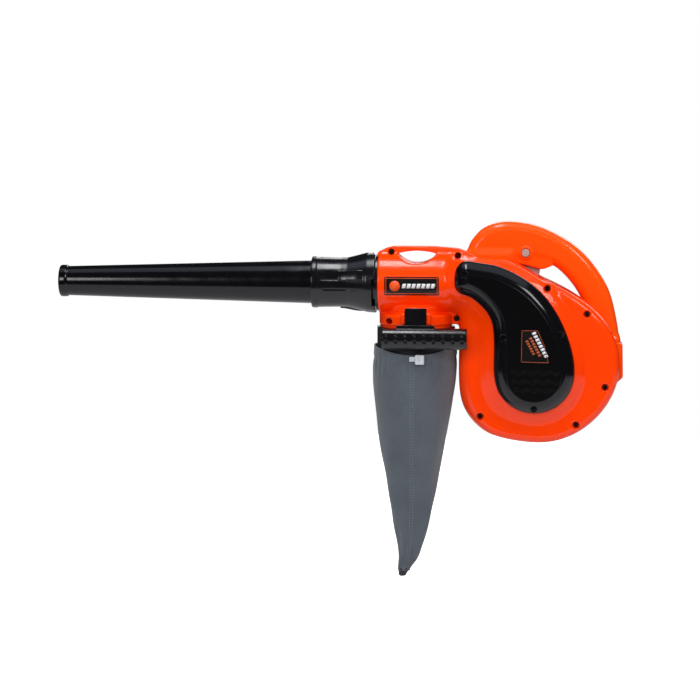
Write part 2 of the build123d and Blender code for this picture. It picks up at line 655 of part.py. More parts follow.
def handle_front_shell():
    """The half that is screwed to the back of the scroll; it holds the front bearing."""
    shell = slab(handle_face(), HANDLE_FRONT, HANDLE_MID) - handle_hollow(HANDLE_FRONT + WALL, HANDLE_MID + 1)
    shell = shell + handle_bosses(HANDLE_FRONT + 1, HANDLE_MID)
    shell = shell + rod_y(5, HANDLE_FRONT + 1, HANDLE_MID - TRIGGER_HALF - 0.7, *TRIGGER_PIVOT)
    shell = shell - rod_y(2.0, HANDLE_FRONT + 2, HANDLE_MID + 1, *TRIGGER_PIVOT)
    shell = shell + rod_y(7.7, HANDLE_FRONT - 0.9, HANDLE_FRONT + 4, LOCK_X, LOCK_Z)
    shell = shell - rod_y(LOCK_R + FIT, HANDLE_FRONT - 2, HANDLE_FRONT + 5, LOCK_X, LOCK_Z)
    for x, z in PLATE_SCREWS:
        shell = shell - rod_y(1.6, HANDLE_FRONT - 1, HANDLE_FRONT + 4, x, z)
    for x, z in HANDLE_SCREWS:
        shell = shell - rod_y(1.6, HANDLE_FRONT + 3, HANDLE_MID + 1, x, z)
    return shell - trigger_gap() - rod_y(15, HANDLE_FRONT - 1, HANDLE_FRONT + 4)


def handle_rear_shell():
    """The other half, with the barrel round the motor."""
    barrel = rod_y(BARREL_R, HANDLE_MID, BARREL_BACK)
    shell = slab(handle_face(), HANDLE_MID, HANDLE_BACK) + barrel
    shell = shell - handle_hollow(HANDLE_MID - 1, HANDLE_BACK - WALL)
    shell = shell - rod_y(BARREL_R - WALL, HANDLE_MID - 1, BARREL_BACK + 1)
    for angle in (0, 90, 180, 270):
        rib = block(-3, 3, STACK_FRONT, STACK_BACK, 37 if angle % 180 == 0 else 35, BARREL_R - 1)
        shell = shell + Rot(0, angle, 0) * rib
    shell = shell + handle_bosses(HANDLE_MID, HANDLE_BACK - 1)
    shell = shell + rod_y(5, HANDLE_MID + TRIGGER_HALF + 0.7, HANDLE_BACK - 1, *TRIGGER_PIVOT)
    shell = shell - rod_y(2.0, HANDLE_MID - 1, HANDLE_BACK - 2, *TRIGGER_PIVOT)
    shell = shell + rod_y(3.2, HANDLE_MID, HANDLE_BACK - 1, LOCK_X, LOCK_Z)
    for x, z in HANDLE_SCREWS:
        shell = shell - screw_pocket(x, HANDLE_BACK, z, 22, 1, sunk=2.0)
    for side in (0, 180):
        for number in range(9):
            slot = block(-1.6, 1.6, 70, 92, BARREL_R - 6, BARREL_R + 4)
            shell = shell - Rot(0, side - 36 + 9 * number, 0) * slot
    shell = shell - rod_x(6.9, -60, 60, STACK_BACK + 9.3)
    gland_hole = rod_y(6.5, HANDLE_BACK - 5, HANDLE_BACK + 1, 88, 12)
    return shell - gland_hole - trigger_gap()


def vent_cover():
    """The end cap of the barrel, with straight air slots."""
    cap = fillet(rod_y(BARREL_R, BARREL_BACK, BARREL_BACK + 7).edges().sort_by(Axis.Y)[-1], 4)
    cap = cap + rod_y(BARREL_R - WALL - 0.1, BARREL_BACK - 4, BARREL_BACK)
    cap = cap - rod_y(BARREL_R - WALL - 2.6, BARREL_BACK - 5, BARREL_BACK + 4.5)
    for number in range(-4, 5):
        z = 8 * number
        half = 16 if abs(number) > 3 else 24
        cap = cap - block(-half, half, BARREL_BACK, BARREL_BACK + 8, z - 1.7, z + 1.7)
    for x, z in VENT_SCREWS:
        cap = cap + rod_y(BOSS_R, BARREL_BACK - 3, BARREL_BACK + 5, x, z)
    for x, z in VENT_SCREWS:
        cap = cap - screw_pocket(x, BARREL_BACK + 7, z, 12, 1, sunk=1.5)
    return cap


def rating_plate():
    return fillet(block(-30, 20, HANDLE_BACK, HANDLE_BACK + 0.4, 138, 156).edges().filter_by(Axis.Y), 2)


def trigger():
    """The squeeze trigger, turning on a pin at its left end."""
    outline = make_face(Polyline((-24.2, 128.0), (-16, 127.0), (6.6, 119.0), (4.9, 108.0), (3.2, 100.5),
                                 (-2, 97.5), (-12, 99.5), (-22, 104), (-24.2, 112), close=True))
    outline = fillet(outline.vertices(), 1.4)
    body = slab(outline, HANDLE_MID - TRIGGER_HALF, HANDLE_MID + TRIGGER_HALF)
    hollow = slab(offset(outline, amount=-2.2), HANDLE_MID - TRIGGER_HALF + 2, HANDLE_MID + TRIGGER_HALF - 2)
    body = body - (hollow - rod_y(4, 0, 100, *TRIGGER_PIVOT))
    return body - rod_y(2.06, 0, 100, *TRIGGER_PIVOT)


def trigger_pin():
    return rod_y(2.0, HANDLE_FRONT + 2, HANDLE_BACK - 2, *TRIGGER_PIVOT)


def lock_button():
    """The round button that holds the trigger in."""
    head = rod_y(LOCK_R, HANDLE_FRONT - 3.4, HANDLE_FRONT + 4.6, LOCK_X, LOCK_Z)
    head = fillet(head.edges().sort_by(Axis.Y)[0], 0.8)
    stop = rod_y(6.2, HANDLE_FRONT + 4.6, HANDLE_FRONT + 6, LOCK_X, LOCK_Z)
    return head + stop + rod_y(2.0, HANDLE_FRONT + 6, HANDLE_FRONT + 10, LOCK_X, LOCK_Z)


def lock_spring():
    """The spring behind the lock button."""
    path = Helix(pitch=2.2, height=9.0, radius=2.7)
    wire = Plane(origin=path @ 0, z_dir=path % 0) * Circle(0.35)
    coil = sweep(wire, path=path)
    return Pos(LOCK_X, HANDLE_FRONT + 6.9, LOCK_Z) * Rot(-90, 0, 0) * coil


def switch_body():
    body = fillet(block(-27, 2, HANDLE_MID - 7, HANDLE_MID + 7, 140.5, 154).edges().filter_by(Axis.Y), 1.5)
    stem = rod_z(2.2, 134.0, 141, -2, HANDLE_MID + 5)
    return body + stem


def capacitor():
    return fillet(block(34.5, 46, HANDLE_MID - 8, HANDLE_MID + 8, 115, 127).edges(), 1.5)


def cord_gland():
    """The strain relief in the inlet block: a collar, a neck in the hole and a tapered sleeve."""
    points = [(HANDLE_BACK - 6, 9.5), (HANDLE_BACK - WALL - 0.2, 9.5), (HANDLE_BACK - WALL - 0.2, 6.4),
              (HANDLE_BACK, 6.4), (HANDLE_BACK, 8.2), (HANDLE_BACK + 4, 8.2), (HANDLE_BACK + 24, 6.2)]
    outline = make_face(Polyline(*[(r, y) for y, r in points], (4.0, HANDLE_BACK + 24), (4.0, HANDLE_BACK - 6),
                                 close=True))
    return Pos(88, 0, 12) * revolve(outline, axis=Axis.Y)


def cord_clamp():
    bar = block(70, 74, HANDLE_MID - 4, HANDLE_MID + 12, -8, 28)
    return bar - rod_x(3.6, 60, 80, HANDLE_MID + 5, 12)


# ---------------------------------------------------------------- all nodes
def screw_set(spots, y, length, facing, head_r=3.2):
    """One screw at each (x, z) spot."""
    return Compound(children=[screw(x, y, z, length, facing, head_r) for x, z in spots])


front_half, rear_half = housing_halves()
nodes = {
    "front_shell": front_half,
    "rear_shell": rear_half,
    "duct_cover": duct_cover(),
    "label_plate": label_plate(),
    "badge_plate": badge_plate(),
    "air_divider": air_divider(),
    "mouth_ring": mouth_ring(),
    "mouth_seal": mouth_seal(),
    "nozzle_tube": nozzle_tube(),
    "nozzle_collar": nozzle_collar(),
    "bag_collar": bag_collar(),
    "dust_bag": dust_bag(),
    "bag_tip": bag_tip(),
    "cable_tie": cable_tie(),
    "latch_pin": latch_pin(),
    "latch_spring": latch_spring(),
    "bag_latch": bag_latch(),
    "impeller": impeller(),
    "fan_washer": rod_y(9, -7.5, -6) - rod_y(SHAFT_R, -10, 0),
    "fan_nut": slab(RegularPolygon(6.0, 6), -13.5, -7.5) - rod_y(SHAFT_R, -20, 0),
    "motor_shaft": motor_shaft(),
    "armature_core": armature_core(),
    "armature_winding": armature_winding(),
    "commutator": commutator(),
    "front_bearing": bearing(11, SHAFT_R + 0.03, 34, 41),
    "rear_bearing": bearing(9.5, 3.53, 103.8, 109.8),
    "bearing_plate": bearing_plate(),
    "stator_core": stator_core(),
    "field_coils": field_coils(),
    "rear_bearing_bridge": rear_bearing_bridge(),
    "brush_holders": brush_holders(),
    "carbon_brushes": carbon_brushes(),
    "brush_caps": brush_caps(),
    "stator_screws": stator_screws(),
    "handle_front_shell": handle_front_shell(),
    "handle_rear_shell": handle_rear_shell(),
    "vent_cover": vent_cover(),
    "rating_plate": rating_plate(),
    "trigger": trigger(),
    "trigger_pin": trigger_pin(),
    "lock_button": lock_button(),
    "lock_spring": lock_spring(),
    "switch_body": switch_body(),
    "capacitor": capacitor(),
    "cord_gland": cord_gland(),
    "cord_clamp": cord_clamp(),
    "ring_screws": screw_set(RING_SCREWS, RING_Y + 3, RING_SCREW_LENGTH, -1, head_r=2.7),
    "neck_screws": screw_set(NECK_SCREWS, -RAIL_HALF + 1, 10, -1),
    "cover_screws": screw_set(COVER_SCREWS, COVER_Y + 8, 15, -1),
    "handle_screws": screw_set(HANDLE_SCREWS, HANDLE_BACK - 2, 22, 1),
    "plate_screws": screw_set(PLATE_SCREWS, HANDLE_FRONT + WALL + 4, 4, 1),
    "vent_screws": screw_set(VENT_SCREWS, BARREL_BACK + 5.5, 9, 1),
}
for name, shape in nodes.items():
    save(name, shape)
print(len(nodes), "nodes written")
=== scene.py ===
import json
import math
from itertools import product

import bpy
import numpy as np
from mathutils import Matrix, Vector


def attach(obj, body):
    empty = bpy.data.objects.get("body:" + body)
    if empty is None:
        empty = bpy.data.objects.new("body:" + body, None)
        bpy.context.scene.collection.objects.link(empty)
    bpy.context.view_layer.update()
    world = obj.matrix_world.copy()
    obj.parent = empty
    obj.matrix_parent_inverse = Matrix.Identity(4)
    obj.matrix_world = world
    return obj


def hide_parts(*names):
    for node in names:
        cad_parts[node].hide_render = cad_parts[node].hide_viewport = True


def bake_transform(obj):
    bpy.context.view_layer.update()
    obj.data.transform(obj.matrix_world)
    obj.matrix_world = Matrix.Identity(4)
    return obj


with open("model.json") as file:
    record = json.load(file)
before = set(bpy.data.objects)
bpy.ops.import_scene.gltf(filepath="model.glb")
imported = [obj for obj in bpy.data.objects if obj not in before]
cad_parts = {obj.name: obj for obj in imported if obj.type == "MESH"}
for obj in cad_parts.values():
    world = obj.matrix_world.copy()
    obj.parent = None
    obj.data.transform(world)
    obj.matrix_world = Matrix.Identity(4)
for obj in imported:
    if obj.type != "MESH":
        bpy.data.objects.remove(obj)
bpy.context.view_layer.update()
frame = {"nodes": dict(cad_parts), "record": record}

# Everything is written in millimetres about the fan's centre: the nozzle points along -X, the duct
# cover faces -Y and Z is up.  place() moves it to the frame's own origin, in the hand grip.
GRIP = np.array([42.0, 47.0, 122.0])


def place(points):
    return (np.asarray(points, float) - GRIP) / 1000.0


def added(name, data):
    """A new object in the scene that holds this mesh, light or camera."""
    holder = bpy.data.objects.new(name, data)
    bpy.context.collection.objects.link(holder)
    return holder


# ---------------------------------------------------------------- driving dimensions
WALL = 2.5                      # moulded wall
SEAM_HALF = 0.12                # half the width of the line between two halves
RING_Y = -28.0                  # front of the fan scroll
SEAT_Y = -37.0                  # seat of the duct cover
COVER_Y = -55.0                 # front of the duct cover
SCROLL_BACK_Y = 30.0            # back of the fan scroll
EYE_R, HUB_R = 30.0, 15.0       # air's way in at the front, and the shaft's way through the back
NECK_Z = 100.0                  # the nozzle's axis
NECK_R = 34.5
NECK_LEFT, NECK_RIGHT = -179.0, -80.0
RAIL_HALF = 8.0                 # half thickness of the hang rail
SPOUT_X = -136.0                # middle of the spout that takes the bag
SPOUT_R = 41.0
COLUMN_R = 31.5                 # the passage from the neck down to the spout
FLANGE_R = 42.2
FLANGE_TOP, FLANGE_LOW, SPOUT_LOW = 65.0, 52.0, 30.0
HANDLE_FRONT, HANDLE_MID, HANDLE_BACK = 30.0, 47.0, 64.0
BARREL_R, BARREL_BACK = 53.0, 110.0     # motor housing
LOCK_X, LOCK_Z = -11.0, 133.0   # lock button
TIP_X, TIP_R, TIP_BORE = -551.0, 18.4, 15.5
TUBE_TIP_R, TUBE_ROOT_R, TUBE_ROOT_X = 17.0, 24.9, -250.0
FOOT_LEFT, FOOT_RIGHT, FOOT_R = -204.0, -200.2, 27.2    # ring at the nozzle's foot
COLLAR_LEFT, COLLAR_RIGHT = -256.0, -182.0
LATCH_X = -133.9                # middle of the latch tab
PIN_Y, PIN_Z = -49.5, 50.5      # latch pin
BAR_ENDS = (-171.8, -75.6)      # the bar that a hand squeezes to free the bag
BAR_Y, BAR_Z, BAR_R = -50.5, 39.2, 12.2

RING_SCREWS = [(14.4, 95.6), (59.3, 66.5), (80.3, -16.7), (47.9, -60.0), (-61.1, -51.3)]
NECK_SCREWS = [(-164.2, 135.6), (-87.8, 131.6), (-89.0, 59.4)]
COVER_SCREWS = [(-79.0, 112.5), (28.5, 45.0), (-35.0, 41.0), (0.0, -39.0)]
HANDLE_SCREWS = [(-62.0, 140.0), (24.0, 141.0), (80.0, 74.0), (91.0, -9.0), (-48.0, 62.0)]
EMPTY_HOLE = (-165.2, 57.4)


# ---------------------------------------------------------------- outlines in X and Z
def smooth_loop(spots, spacing=1.0):
    """A closed line with even curvature through the spots."""
    spots = np.array(spots, float)
    ahead = np.roll(spots, -1, 0)
    gap = np.linalg.norm(ahead - spots, axis=1)
    before = np.roll(gap, 1)
    matrix = np.diag(2 * (before + gap)) + np.roll(np.diag(before), -1, 1) + np.roll(np.diag(gap), 1, 1)
    right = 6 * ((ahead - spots) / gap[:, None] - (spots - np.roll(spots, 1, 0)) / before[:, None])
    bend = np.linalg.solve(matrix, right)
    line = []
    for i in range(len(spots)):
        steps = max(2, int(gap[i] / spacing))
        s = (np.arange(steps) / steps)[:, None]
        j = (i + 1) % len(spots)
        line.append((1 - s) * spots[i] + s * spots[j] + gap[i] ** 2 / 6 * (
            ((1 - s) ** 3 - (1 - s)) * bend[i] + (s ** 3 - s) * bend[j]))
    return np.concatenate(line)


def cornered_loop(spots, radius):
    """A closed line with straight sides and its corners eased."""
    spots = np.array(spots, float)
    line = []
    for i, corner in enumerate(spots):
        for other, order in ((spots[i - 1], 1), (spots[(i + 1) % len(spots)], -1)):
            away = other - corner
            length = np.linalg.norm(away)
            reach = min(radius, 0.45 * length)
            end = corner + away / length * reach
            middle = corner + (end - corner) * 0.29
            line += [end, middle] if order == 1 else [middle, end]
    return np.array(line)


def line_distance(line, x, z):
    """Distance to a closed line, below zero inside it."""
    nearest = np.full(x.shape, 1e9)
    inside = np.zeros(x.shape, bool)
    for (ax, az), (bx, bz) in zip(line, np.roll(line, -1, 0)):
        ux, uz = bx - ax, bz - az
        share = np.clip(((x - ax) * ux + (z - az) * uz) / (ux * ux + uz * uz), 0, 1)
        nearest = np.minimum(nearest, (x - ax - share * ux) ** 2 + (z - az - share * uz) ** 2)
        if uz != 0:
            inside ^= ((az > z) != (bz > z)) & (x < ax + (z - az) * ux / uz)
    return np.where(inside, -1, 1) * np.sqrt(nearest)


class Outline:
    """The distance to a closed line, kept as a table so that it is quick to look up."""
    STEP = 1.0

    def __init__(self, line, margin=30.0):
        self.line = line
        self.low = line.min(0) - margin
        count = np.ceil((line.max(0) + margin - self.low) / self.STEP).astype(int) + 1
        xs = self.low[0] + self.STEP * np.arange(count[0])
        zs = self.low[1] + self.STEP * np.arange(count[1])
        self.table = line_distance(line, *np.meshgrid(xs, zs, indexing="ij"))

    def __call__(self, x, z):
        u = (x - self.low[0]) / self.STEP
        v = (z - self.low[1]) / self.STEP
        top_u, top_v = self.table.shape[0] - 1.001, self.table.shape[1] - 1.001
        cu, cv = np.clip(u, 0, top_u), np.clip(v, 0, top_v)
        i, j = cu.astype(int), cv.astype(int)
        s, t = cu - i, cv - j
        t0 = self.table[i, j] * (1 - s) + self.table[i + 1, j] * s
        t1 = self.table[i, j + 1] * (1 - s) + self.table[i + 1, j + 1] * s
        return t0 * (1 - t) + t1 * t + self.STEP * np.hypot(u - cu, v - cv)


def arc_spots(radius, start, end, count, x=0.0, z=0.0):
    """Points on a circle, with angles in degrees from +X towards +Z."""
    angles = np.radians(np.linspace(start, end, count))
    return [(x + radius * math.cos(a), z + radius * math.sin(a)) for a in angles]


SCROLL = Outline(smooth_loop([
    (-70, 127.4), (-16, 116.0), (44, 88.2), (84, 51.5), (96.8, 6), (79, -43), (22, -80.0),
    (-21, -79.4), (-57.5, -68.0), (-80, -43), (-86, -12), (-86.2, 24), (-86.5, 62), (-88, 100), (-83, 124)]))
COVER = Outline(smooth_loop(
    [(-82, 125.9), (-66, 125.8), (-46.1, 122.6), (-25.9, 115.2), (-5.8, 103.3), (12.5, 86.2), (26.7, 66),
     (36.9, 43.9), (43.1, 23.6)] + arc_spots(45.5, 0, -180, 7) +
    [(-45.6, 24), (-46.0, 43.3), (-48.7, 59.5), (-55.9, 71.6), (-66.1, 81.7), (-76.2, 87.7), (-84.2, 90.5),
     (-89.3, 95.7), (-90.6, 104), (-88.6, 118.5)]))
RAIL = Outline(cornered_loop([
    (NECK_LEFT, 116), (NECK_LEFT, 133.4), (-171, 139.6), (-159.8, 142.4), (-114.6, 142.1),
    (-88, 139.9), (-77.8, 136), (-68, 127.5), (-84, 112)], 4))
HANG_HOLE = Outline(np.array(
    arc_spots(28.7, 231, 309, 24, -134.8, 151.4) + arc_spots(80.0, 74, 106, 12, -134.8, 56.8)), 60)
ARCH = Outline(smooth_loop([
    (-78.4, 131.9), (-76.6, 141.5), (-71, 150.8), (-60.7, 160.8), (-48.3, 166.8), (-33.7, 169.2),
    (-17.1, 168.3), (3.7, 163.7), (24.4, 154.8), (45.2, 142), (61.9, 126.4), (74.4, 109.8), (84.9, 91.1),
    (91.4, 70.4), (95.7, 49.5), (98.0, 26), (93, 8), (78, 4), (67, 18), (62.5, 40), (59.2, 62), (52.1, 82.5),
    (37.3, 103.8), (19.6, 118.6), (3, 124), (-16, 124), (-27, 116), (-34, 100), (-60, 94), (-76, 108)]))
POD = Outline(cornered_loop([
    (-27, 150), (2, 148), (15, 137), (20.6, 118.5), (12.1, 114.9), (7.6, 113.9), (-26.2, 122.9)], 2.0))
LEFT_ARM = Outline(cornered_loop([
    (-78, 134), (-78, 112), (-62, 70), (-50, 15), (-10, 30), (-14, 58), (-26, 78), (-26.2, 134)], 6))
RIGHT_ARM = Outline(cornered_loop([(30, -15), (97, -15), (97, 35), (30, 35)], 6))
INLET = Outline(cornered_loop([(78, -17), (96.3, -17), (102.6, -11), (101.7, 28), (94.6, 30), (78, 30)], 2.5))
LABEL_CORNERS = [(-15, 51), (4.5, 51), (12.4, 33), (17.4, 12.6), (-15.5, 13.4)]


# ---------------------------------------------------------------- fields: below zero inside a form
def rounded(side, depth, radius):
    """A straight-sided form from its two distances, with its edges rounded."""
    a, b = side + radius, depth + radius
    return np.hypot(np.maximum(a, 0), np.maximum(b, 0)) + np.minimum(np.maximum(a, b), 0) - radius


def blend(a, b, width):
    """Both forms, with a hollow fillet where they meet."""
    share = np.clip(0.5 + 0.5 * (b - a) / width, 0, 1)
    return b * (1 - share) + a * share - width * share * (1 - share)


def common(a, b, width):
    return -blend(-a, -b, width)


def carve(a, b, width):
    """The first form without the second, with the edge between them eased."""
    return common(a, -b, width)


def ease(value, low, high):
    """Turns smoothly from 0 at low to 1 at high."""
    t = np.clip((value - low) / (high - low), 0, 1)
    return t * t * (3 - 2 * t)


def between(value, low, high):
    return np.abs(value - (low + high) / 2) - (high - low) / 2


def bar_y(x, y, z, middle, radius, low, high, edge=0.4):
    """A round bar along Y."""
    return rounded(np.hypot(x - middle[0], z - middle[1]) - radius, between(y, low, high), edge)


def bars_y(x, y, z, spots, radius, low, high):
    """Round bars along Y at every spot."""
    return np.minimum.reduce([bar_y(x, y, z, spot, radius, low, high) for spot in spots])


def brick(x, y, z, spans, edge):
    sides = [between(v, *span) + edge for v, span in zip((x, y, z), spans)]
    outside = np.sqrt(sum(np.maximum(s, 0) ** 2 for s in sides))
    return outside + np.minimum(np.maximum(np.maximum(sides[0], sides[1]), sides[2]), 0) - edge


# ---------------------------------------------------------------- from a field to a mesh
def slope(field, points, step):
    columns = []
    for axis in range(3):
        shift = np.zeros(3)
        shift[axis] = step
        ahead, behind = points + shift, points - shift
        columns.append((field(*ahead.T) - field(*behind.T)) / (2 * step))
    return np.stack(columns, 1)


def net_points(value, low, cell):
    """One point in each cell that the surface passes through, and the cells' numbers."""
    inside = value < 0
    cells_shape = tuple(n - 1 for n in value.shape)
    total = np.zeros(cells_shape, np.int8)
    for corner in product((0, 1), repeat=3):
        total += inside[tuple(slice(c, c + n) for c, n in zip(corner, cells_shape))]
    mixed = (total > 0) & (total < 8)
    cells = np.argwhere(mixed)
    number = np.full(cells_shape, -1)
    number[mixed] = np.arange(len(cells))
    sums, hits = np.zeros((len(cells), 3)), np.zeros(len(cells))
    for axis in range(3):
        along = np.eye(3, dtype=int)[axis]
        for corner in product((0, 1), repeat=3):
            if corner[axis]:
                continue
            start = cells + corner
            end = start + along
            a, b = value[tuple(start.T)], value[tuple(end.T)]
            crossed = (a < 0) != (b < 0)
            share = np.where(crossed, a / np.where(crossed, a - b, 1), 0)
            sums += crossed[:, None] * (start + share[:, None] * along)
            hits += crossed
    return low + cell * sums / hits[:, None], number


def net_faces(value, number):
    """A four-sided face across each edge of the grid that the surface cuts."""
    inside = value < 0
    faces = []
    for axis in range(3):
        u, v = (axis + 1) % 3, (axis + 2) % 3
        first = np.take(inside, range(inside.shape[axis] - 1), axis)
        second = np.take(inside, range(1, inside.shape[axis]), axis)
        cut = np.argwhere(first != second)
        cut = cut[(cut[:, u] > 0) & (cut[:, v] > 0)]
        cut = cut[(cut[:, u] < number.shape[u]) & (cut[:, v] < number.shape[v])]
        outward = inside[tuple(cut.T)]
        ring = []
        for du, dv in ((1, 1), (0, 1), (0, 0), (1, 0)):
            cell = cut.copy()
            cell[:, u] -= du
            cell[:, v] -= dv
            ring.append(number[tuple(cell.T)])
        quads = np.stack(ring, 1)
        faces.append(np.where(outward[:, None], quads, quads[:, ::-1]))
    return np.concatenate(faces)


def field_mesh(name, field, low, high, cell):
    """A closed mesh of the surface where the field is zero, with its shading from the field."""
    cell = cell
    axes = [np.arange(a, b + cell, cell) for a, b in zip(low, high)]
    value = field(*np.meshgrid(*axes, indexing="ij"))
    points, number = net_points(value, np.array(low, float), cell)
    faces = net_faces(value, number)
    for _ in range(3):
        normal = slope(field, points, 0.3 * cell)
        size = np.maximum((normal ** 2).sum(1), 0.2)
        move = np.clip(field(*points.T) / size, -0.4 * cell, 0.4 * cell)
        points = points - move[:, None] * normal
    normal = slope(field, points, 0.7 * cell)
    normal /= np.maximum(np.linalg.norm(normal, axis=1), 1e-6)[:, None]
    mesh = bpy.data.meshes.new(name)
    mesh.from_pydata(place(points).tolist(), [], faces.tolist())
    mesh.shade_smooth()
    mesh.normals_split_custom_set_from_vertices(normal.tolist())
    return added(name, mesh), points


def half(form, parting, side):
    """One half of a body that parts at a plane across Y: side is 1 for the front half, -1 for the rear."""
    return lambda x, y, z: common(form(x, y, z), side * (y - parting) + SEAM_HALF, 0.6)


# ---------------------------------------------------------------- other ways to make a mesh
def plain_mesh(name, points, faces, smooth=True):
    mesh = bpy.data.meshes.new(name)
    mesh.from_pydata(place(points).tolist(), [], [list(f) for f in faces])
    mesh.update()
    if smooth:
        mesh.shade_smooth()
    return added(name, mesh)


def finish_piece(piece, body, material, slot, *nodes):
    """Material, finish slot (not used), the body it rides on and the CAD nodes it stands for."""
    for item in material if isinstance(material, list) else [material]:
        piece.data.materials.append(item)
    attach(piece, body)
    if nodes:
        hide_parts(*nodes)
    return piece


def field_piece(name, form, low, high, cell, *finish):
    """A piece made from a field, and its mesh points; finish is as in finish_piece."""
    piece, points = field_mesh(name, form, low, high, cell)
    return finish_piece(piece, *finish), points


def lathe(name, profile, segments=96):
    """A closed ring-shaped mesh from (x, radius) points, turned about the nozzle's axis."""
    profile = np.array(profile, float)
    angles = np.arange(segments) / segments * 2 * math.pi
    points = [(x, r * math.cos(a), NECK_Z + r * math.sin(a)) for a in angles for x, r in profile]
    count = len(profile)
    faces = []
    for i in range(segments):
        for j in range(count):
            k, m = (i + 1) % segments, (j + 1) % count
            faces.append((i * count + j, k * count + j, k * count + m, i * count + m))
    return plain_mesh(name, points, faces)


def eased_profile(profile, radius, steps=5):
    """The same closed profile with its corners rounded."""
    profile = np.array(profile, float)
    result = []
    for i, corner in enumerate(profile):
        before, after = profile[i - 1] - corner, profile[(i + 1) % len(profile)] - corner
        reach = min(radius, 0.4 * np.linalg.norm(before), 0.4 * np.linalg.norm(after))
        start = corner + before / np.linalg.norm(before) * reach
        end = corner + after / np.linalg.norm(after) * reach
        for s in np.linspace(0, 1, steps):
            result.append((1 - s) ** 2 * start + 2 * s * (1 - s) * corner + s * s * end)
    return result


# ---------------------------------------------------------------- materials
def joined(tree, node, inputs):
    """Set a node's inputs, to plain values or to the outputs of other nodes."""
    for key, value in inputs.items():
        if isinstance(value, bpy.types.NodeSocket):
            tree.links.new(value, node.inputs[key])
        else:
            node.inputs[key].default_value = value


def made(tree, kind, inputs, output, **settings):
    """The output of a new node of that kind."""
    node = tree.nodes.new("ShaderNode" + kind)
    for key, value in settings.items():
        setattr(node, key, value)
    joined(tree, node, inputs)
    return node.outputs[output]


def new_material(name):
    material = bpy.data.materials.new(name)
    material.use_nodes = True
    tree = material.node_tree
    return material, tree, tree.nodes["Principled BSDF"], made(tree, "TexCoord", {}, "Object")


def noise(tree, coords, scale, detail=3.0):
    return made(tree, "TexNoise", {"Vector": coords, "Scale": scale, "Detail": detail}, "Fac")


def ranged(tree, value, low, high, from_low=0.3, from_high=0.7):
    return made(tree, "MapRange", {"Value": value, "From Min": from_low, "From Max": from_high,
                                   "To Min": low, "To Max": high}, "Result")


def mixed(tree, factor, first, second):
    return made(tree, "Mix", {0: factor, 6: (*first, 1), 7: (*second, 1)}, 2, data_type="RGBA")


def computed(tree, operation, *inputs):
    return made(tree, "Math", dict(enumerate(inputs)), 0, operation=operation)


def bump(tree, height, distance, strength=1.0):
    return made(tree, "Bump", {"Height": height, "Distance": distance, "Strength": strength}, "Normal")


def moulded(name, colour, dark, roughness, grain, coat=0.0, metallic=0.0, grain_scale=900, gloss=0.5):
    """A moulded or metal surface: faint colour and gloss changes, and a fine grain."""
    material, tree, shader, coords = new_material(name)
    joined(tree, shader, {
        "Base Color": mixed(tree, noise(tree, coords, 22), dark, colour),
        "Roughness": ranged(tree, noise(tree, coords, 60), roughness * 0.8, roughness * 1.25),
        "Normal": bump(tree, noise(tree, coords, grain_scale, 2), grain),
        "Metallic": metallic, "Specular IOR Level": gloss, "Coat Weight": coat, "Coat Roughness": 0.04})
    return material


def cover_material():
    """Glossy black rim that turns to a matte, finely grained top."""
    material, tree, shader, coords = new_material("cover_black_gloss_and_matte")
    inward = made(tree, "Attribute", {}, "Fac", attribute_name="inward")
    top = ranged(tree, inward, 0, 1, COVER_RIM - 0.5, COVER_RIM + 0.5)
    height = computed(tree, "MULTIPLY", noise(tree, coords, 1600, 2), top)
    joined(tree, shader, {
        "Base Color": mixed(tree, top, (0.0030, 0.0030, 0.0040), (0.0016, 0.0016, 0.0020)),
        "Roughness": ranged(tree, top, 0.13, 0.40, 0, 1),
        "Specular IOR Level": ranged(tree, top, 0.5, 0.15, 0, 1),
        "Normal": bump(tree, height, 0.00012, 0.5)})
    return material


def fabric_material():
    """Grey cloth with a fine diagonal weave."""
    material, tree, shader, coords = new_material("bag_fabric_grey_weave")
    cloth = made(tree, "UVMap", {}, "UV", uv_map="cloth")
    threads = []
    for turn in (45, -45):
        turned = made(tree, "Mapping", {"Vector": cloth, "Rotation": (0, 0, math.radians(turn))}, "Vector")
        threads.append(made(tree, "TexWave", {
            "Vector": turned, "Scale": CLOTH_UNIT / CLOTH_PITCH * math.pi / 10, "Distortion": 0.6,
            "Detail": 1.0, "Detail Scale": 2.0}, "Fac", wave_profile="SIN"))
    weave = computed(tree, "MULTIPLY", *threads)
    tone = computed(tree, "MULTIPLY_ADD", noise(tree, coords, 30), 0.5, weave)
    joined(tree, shader, {
        "Base Color": mixed(tree, ranged(tree, tone, 0, 1, 0.1, 1.1),
                            (0.045, 0.055, 0.067), (0.135, 0.160, 0.188)),
        "Roughness": 0.82, "Sheen Weight": 0.25, "Sheen Roughness": 0.5,
        "Normal": bump(tree, weave, 0.0004, 0.7)})
    return material


COVER_RIM = 14.0                # width of the duct cover's sloping rim
CLOTH_UNIT = 100.0              # millimetres of cloth to one unit of its coordinates
CLOTH_PITCH = 1.9               # millimetres between threads

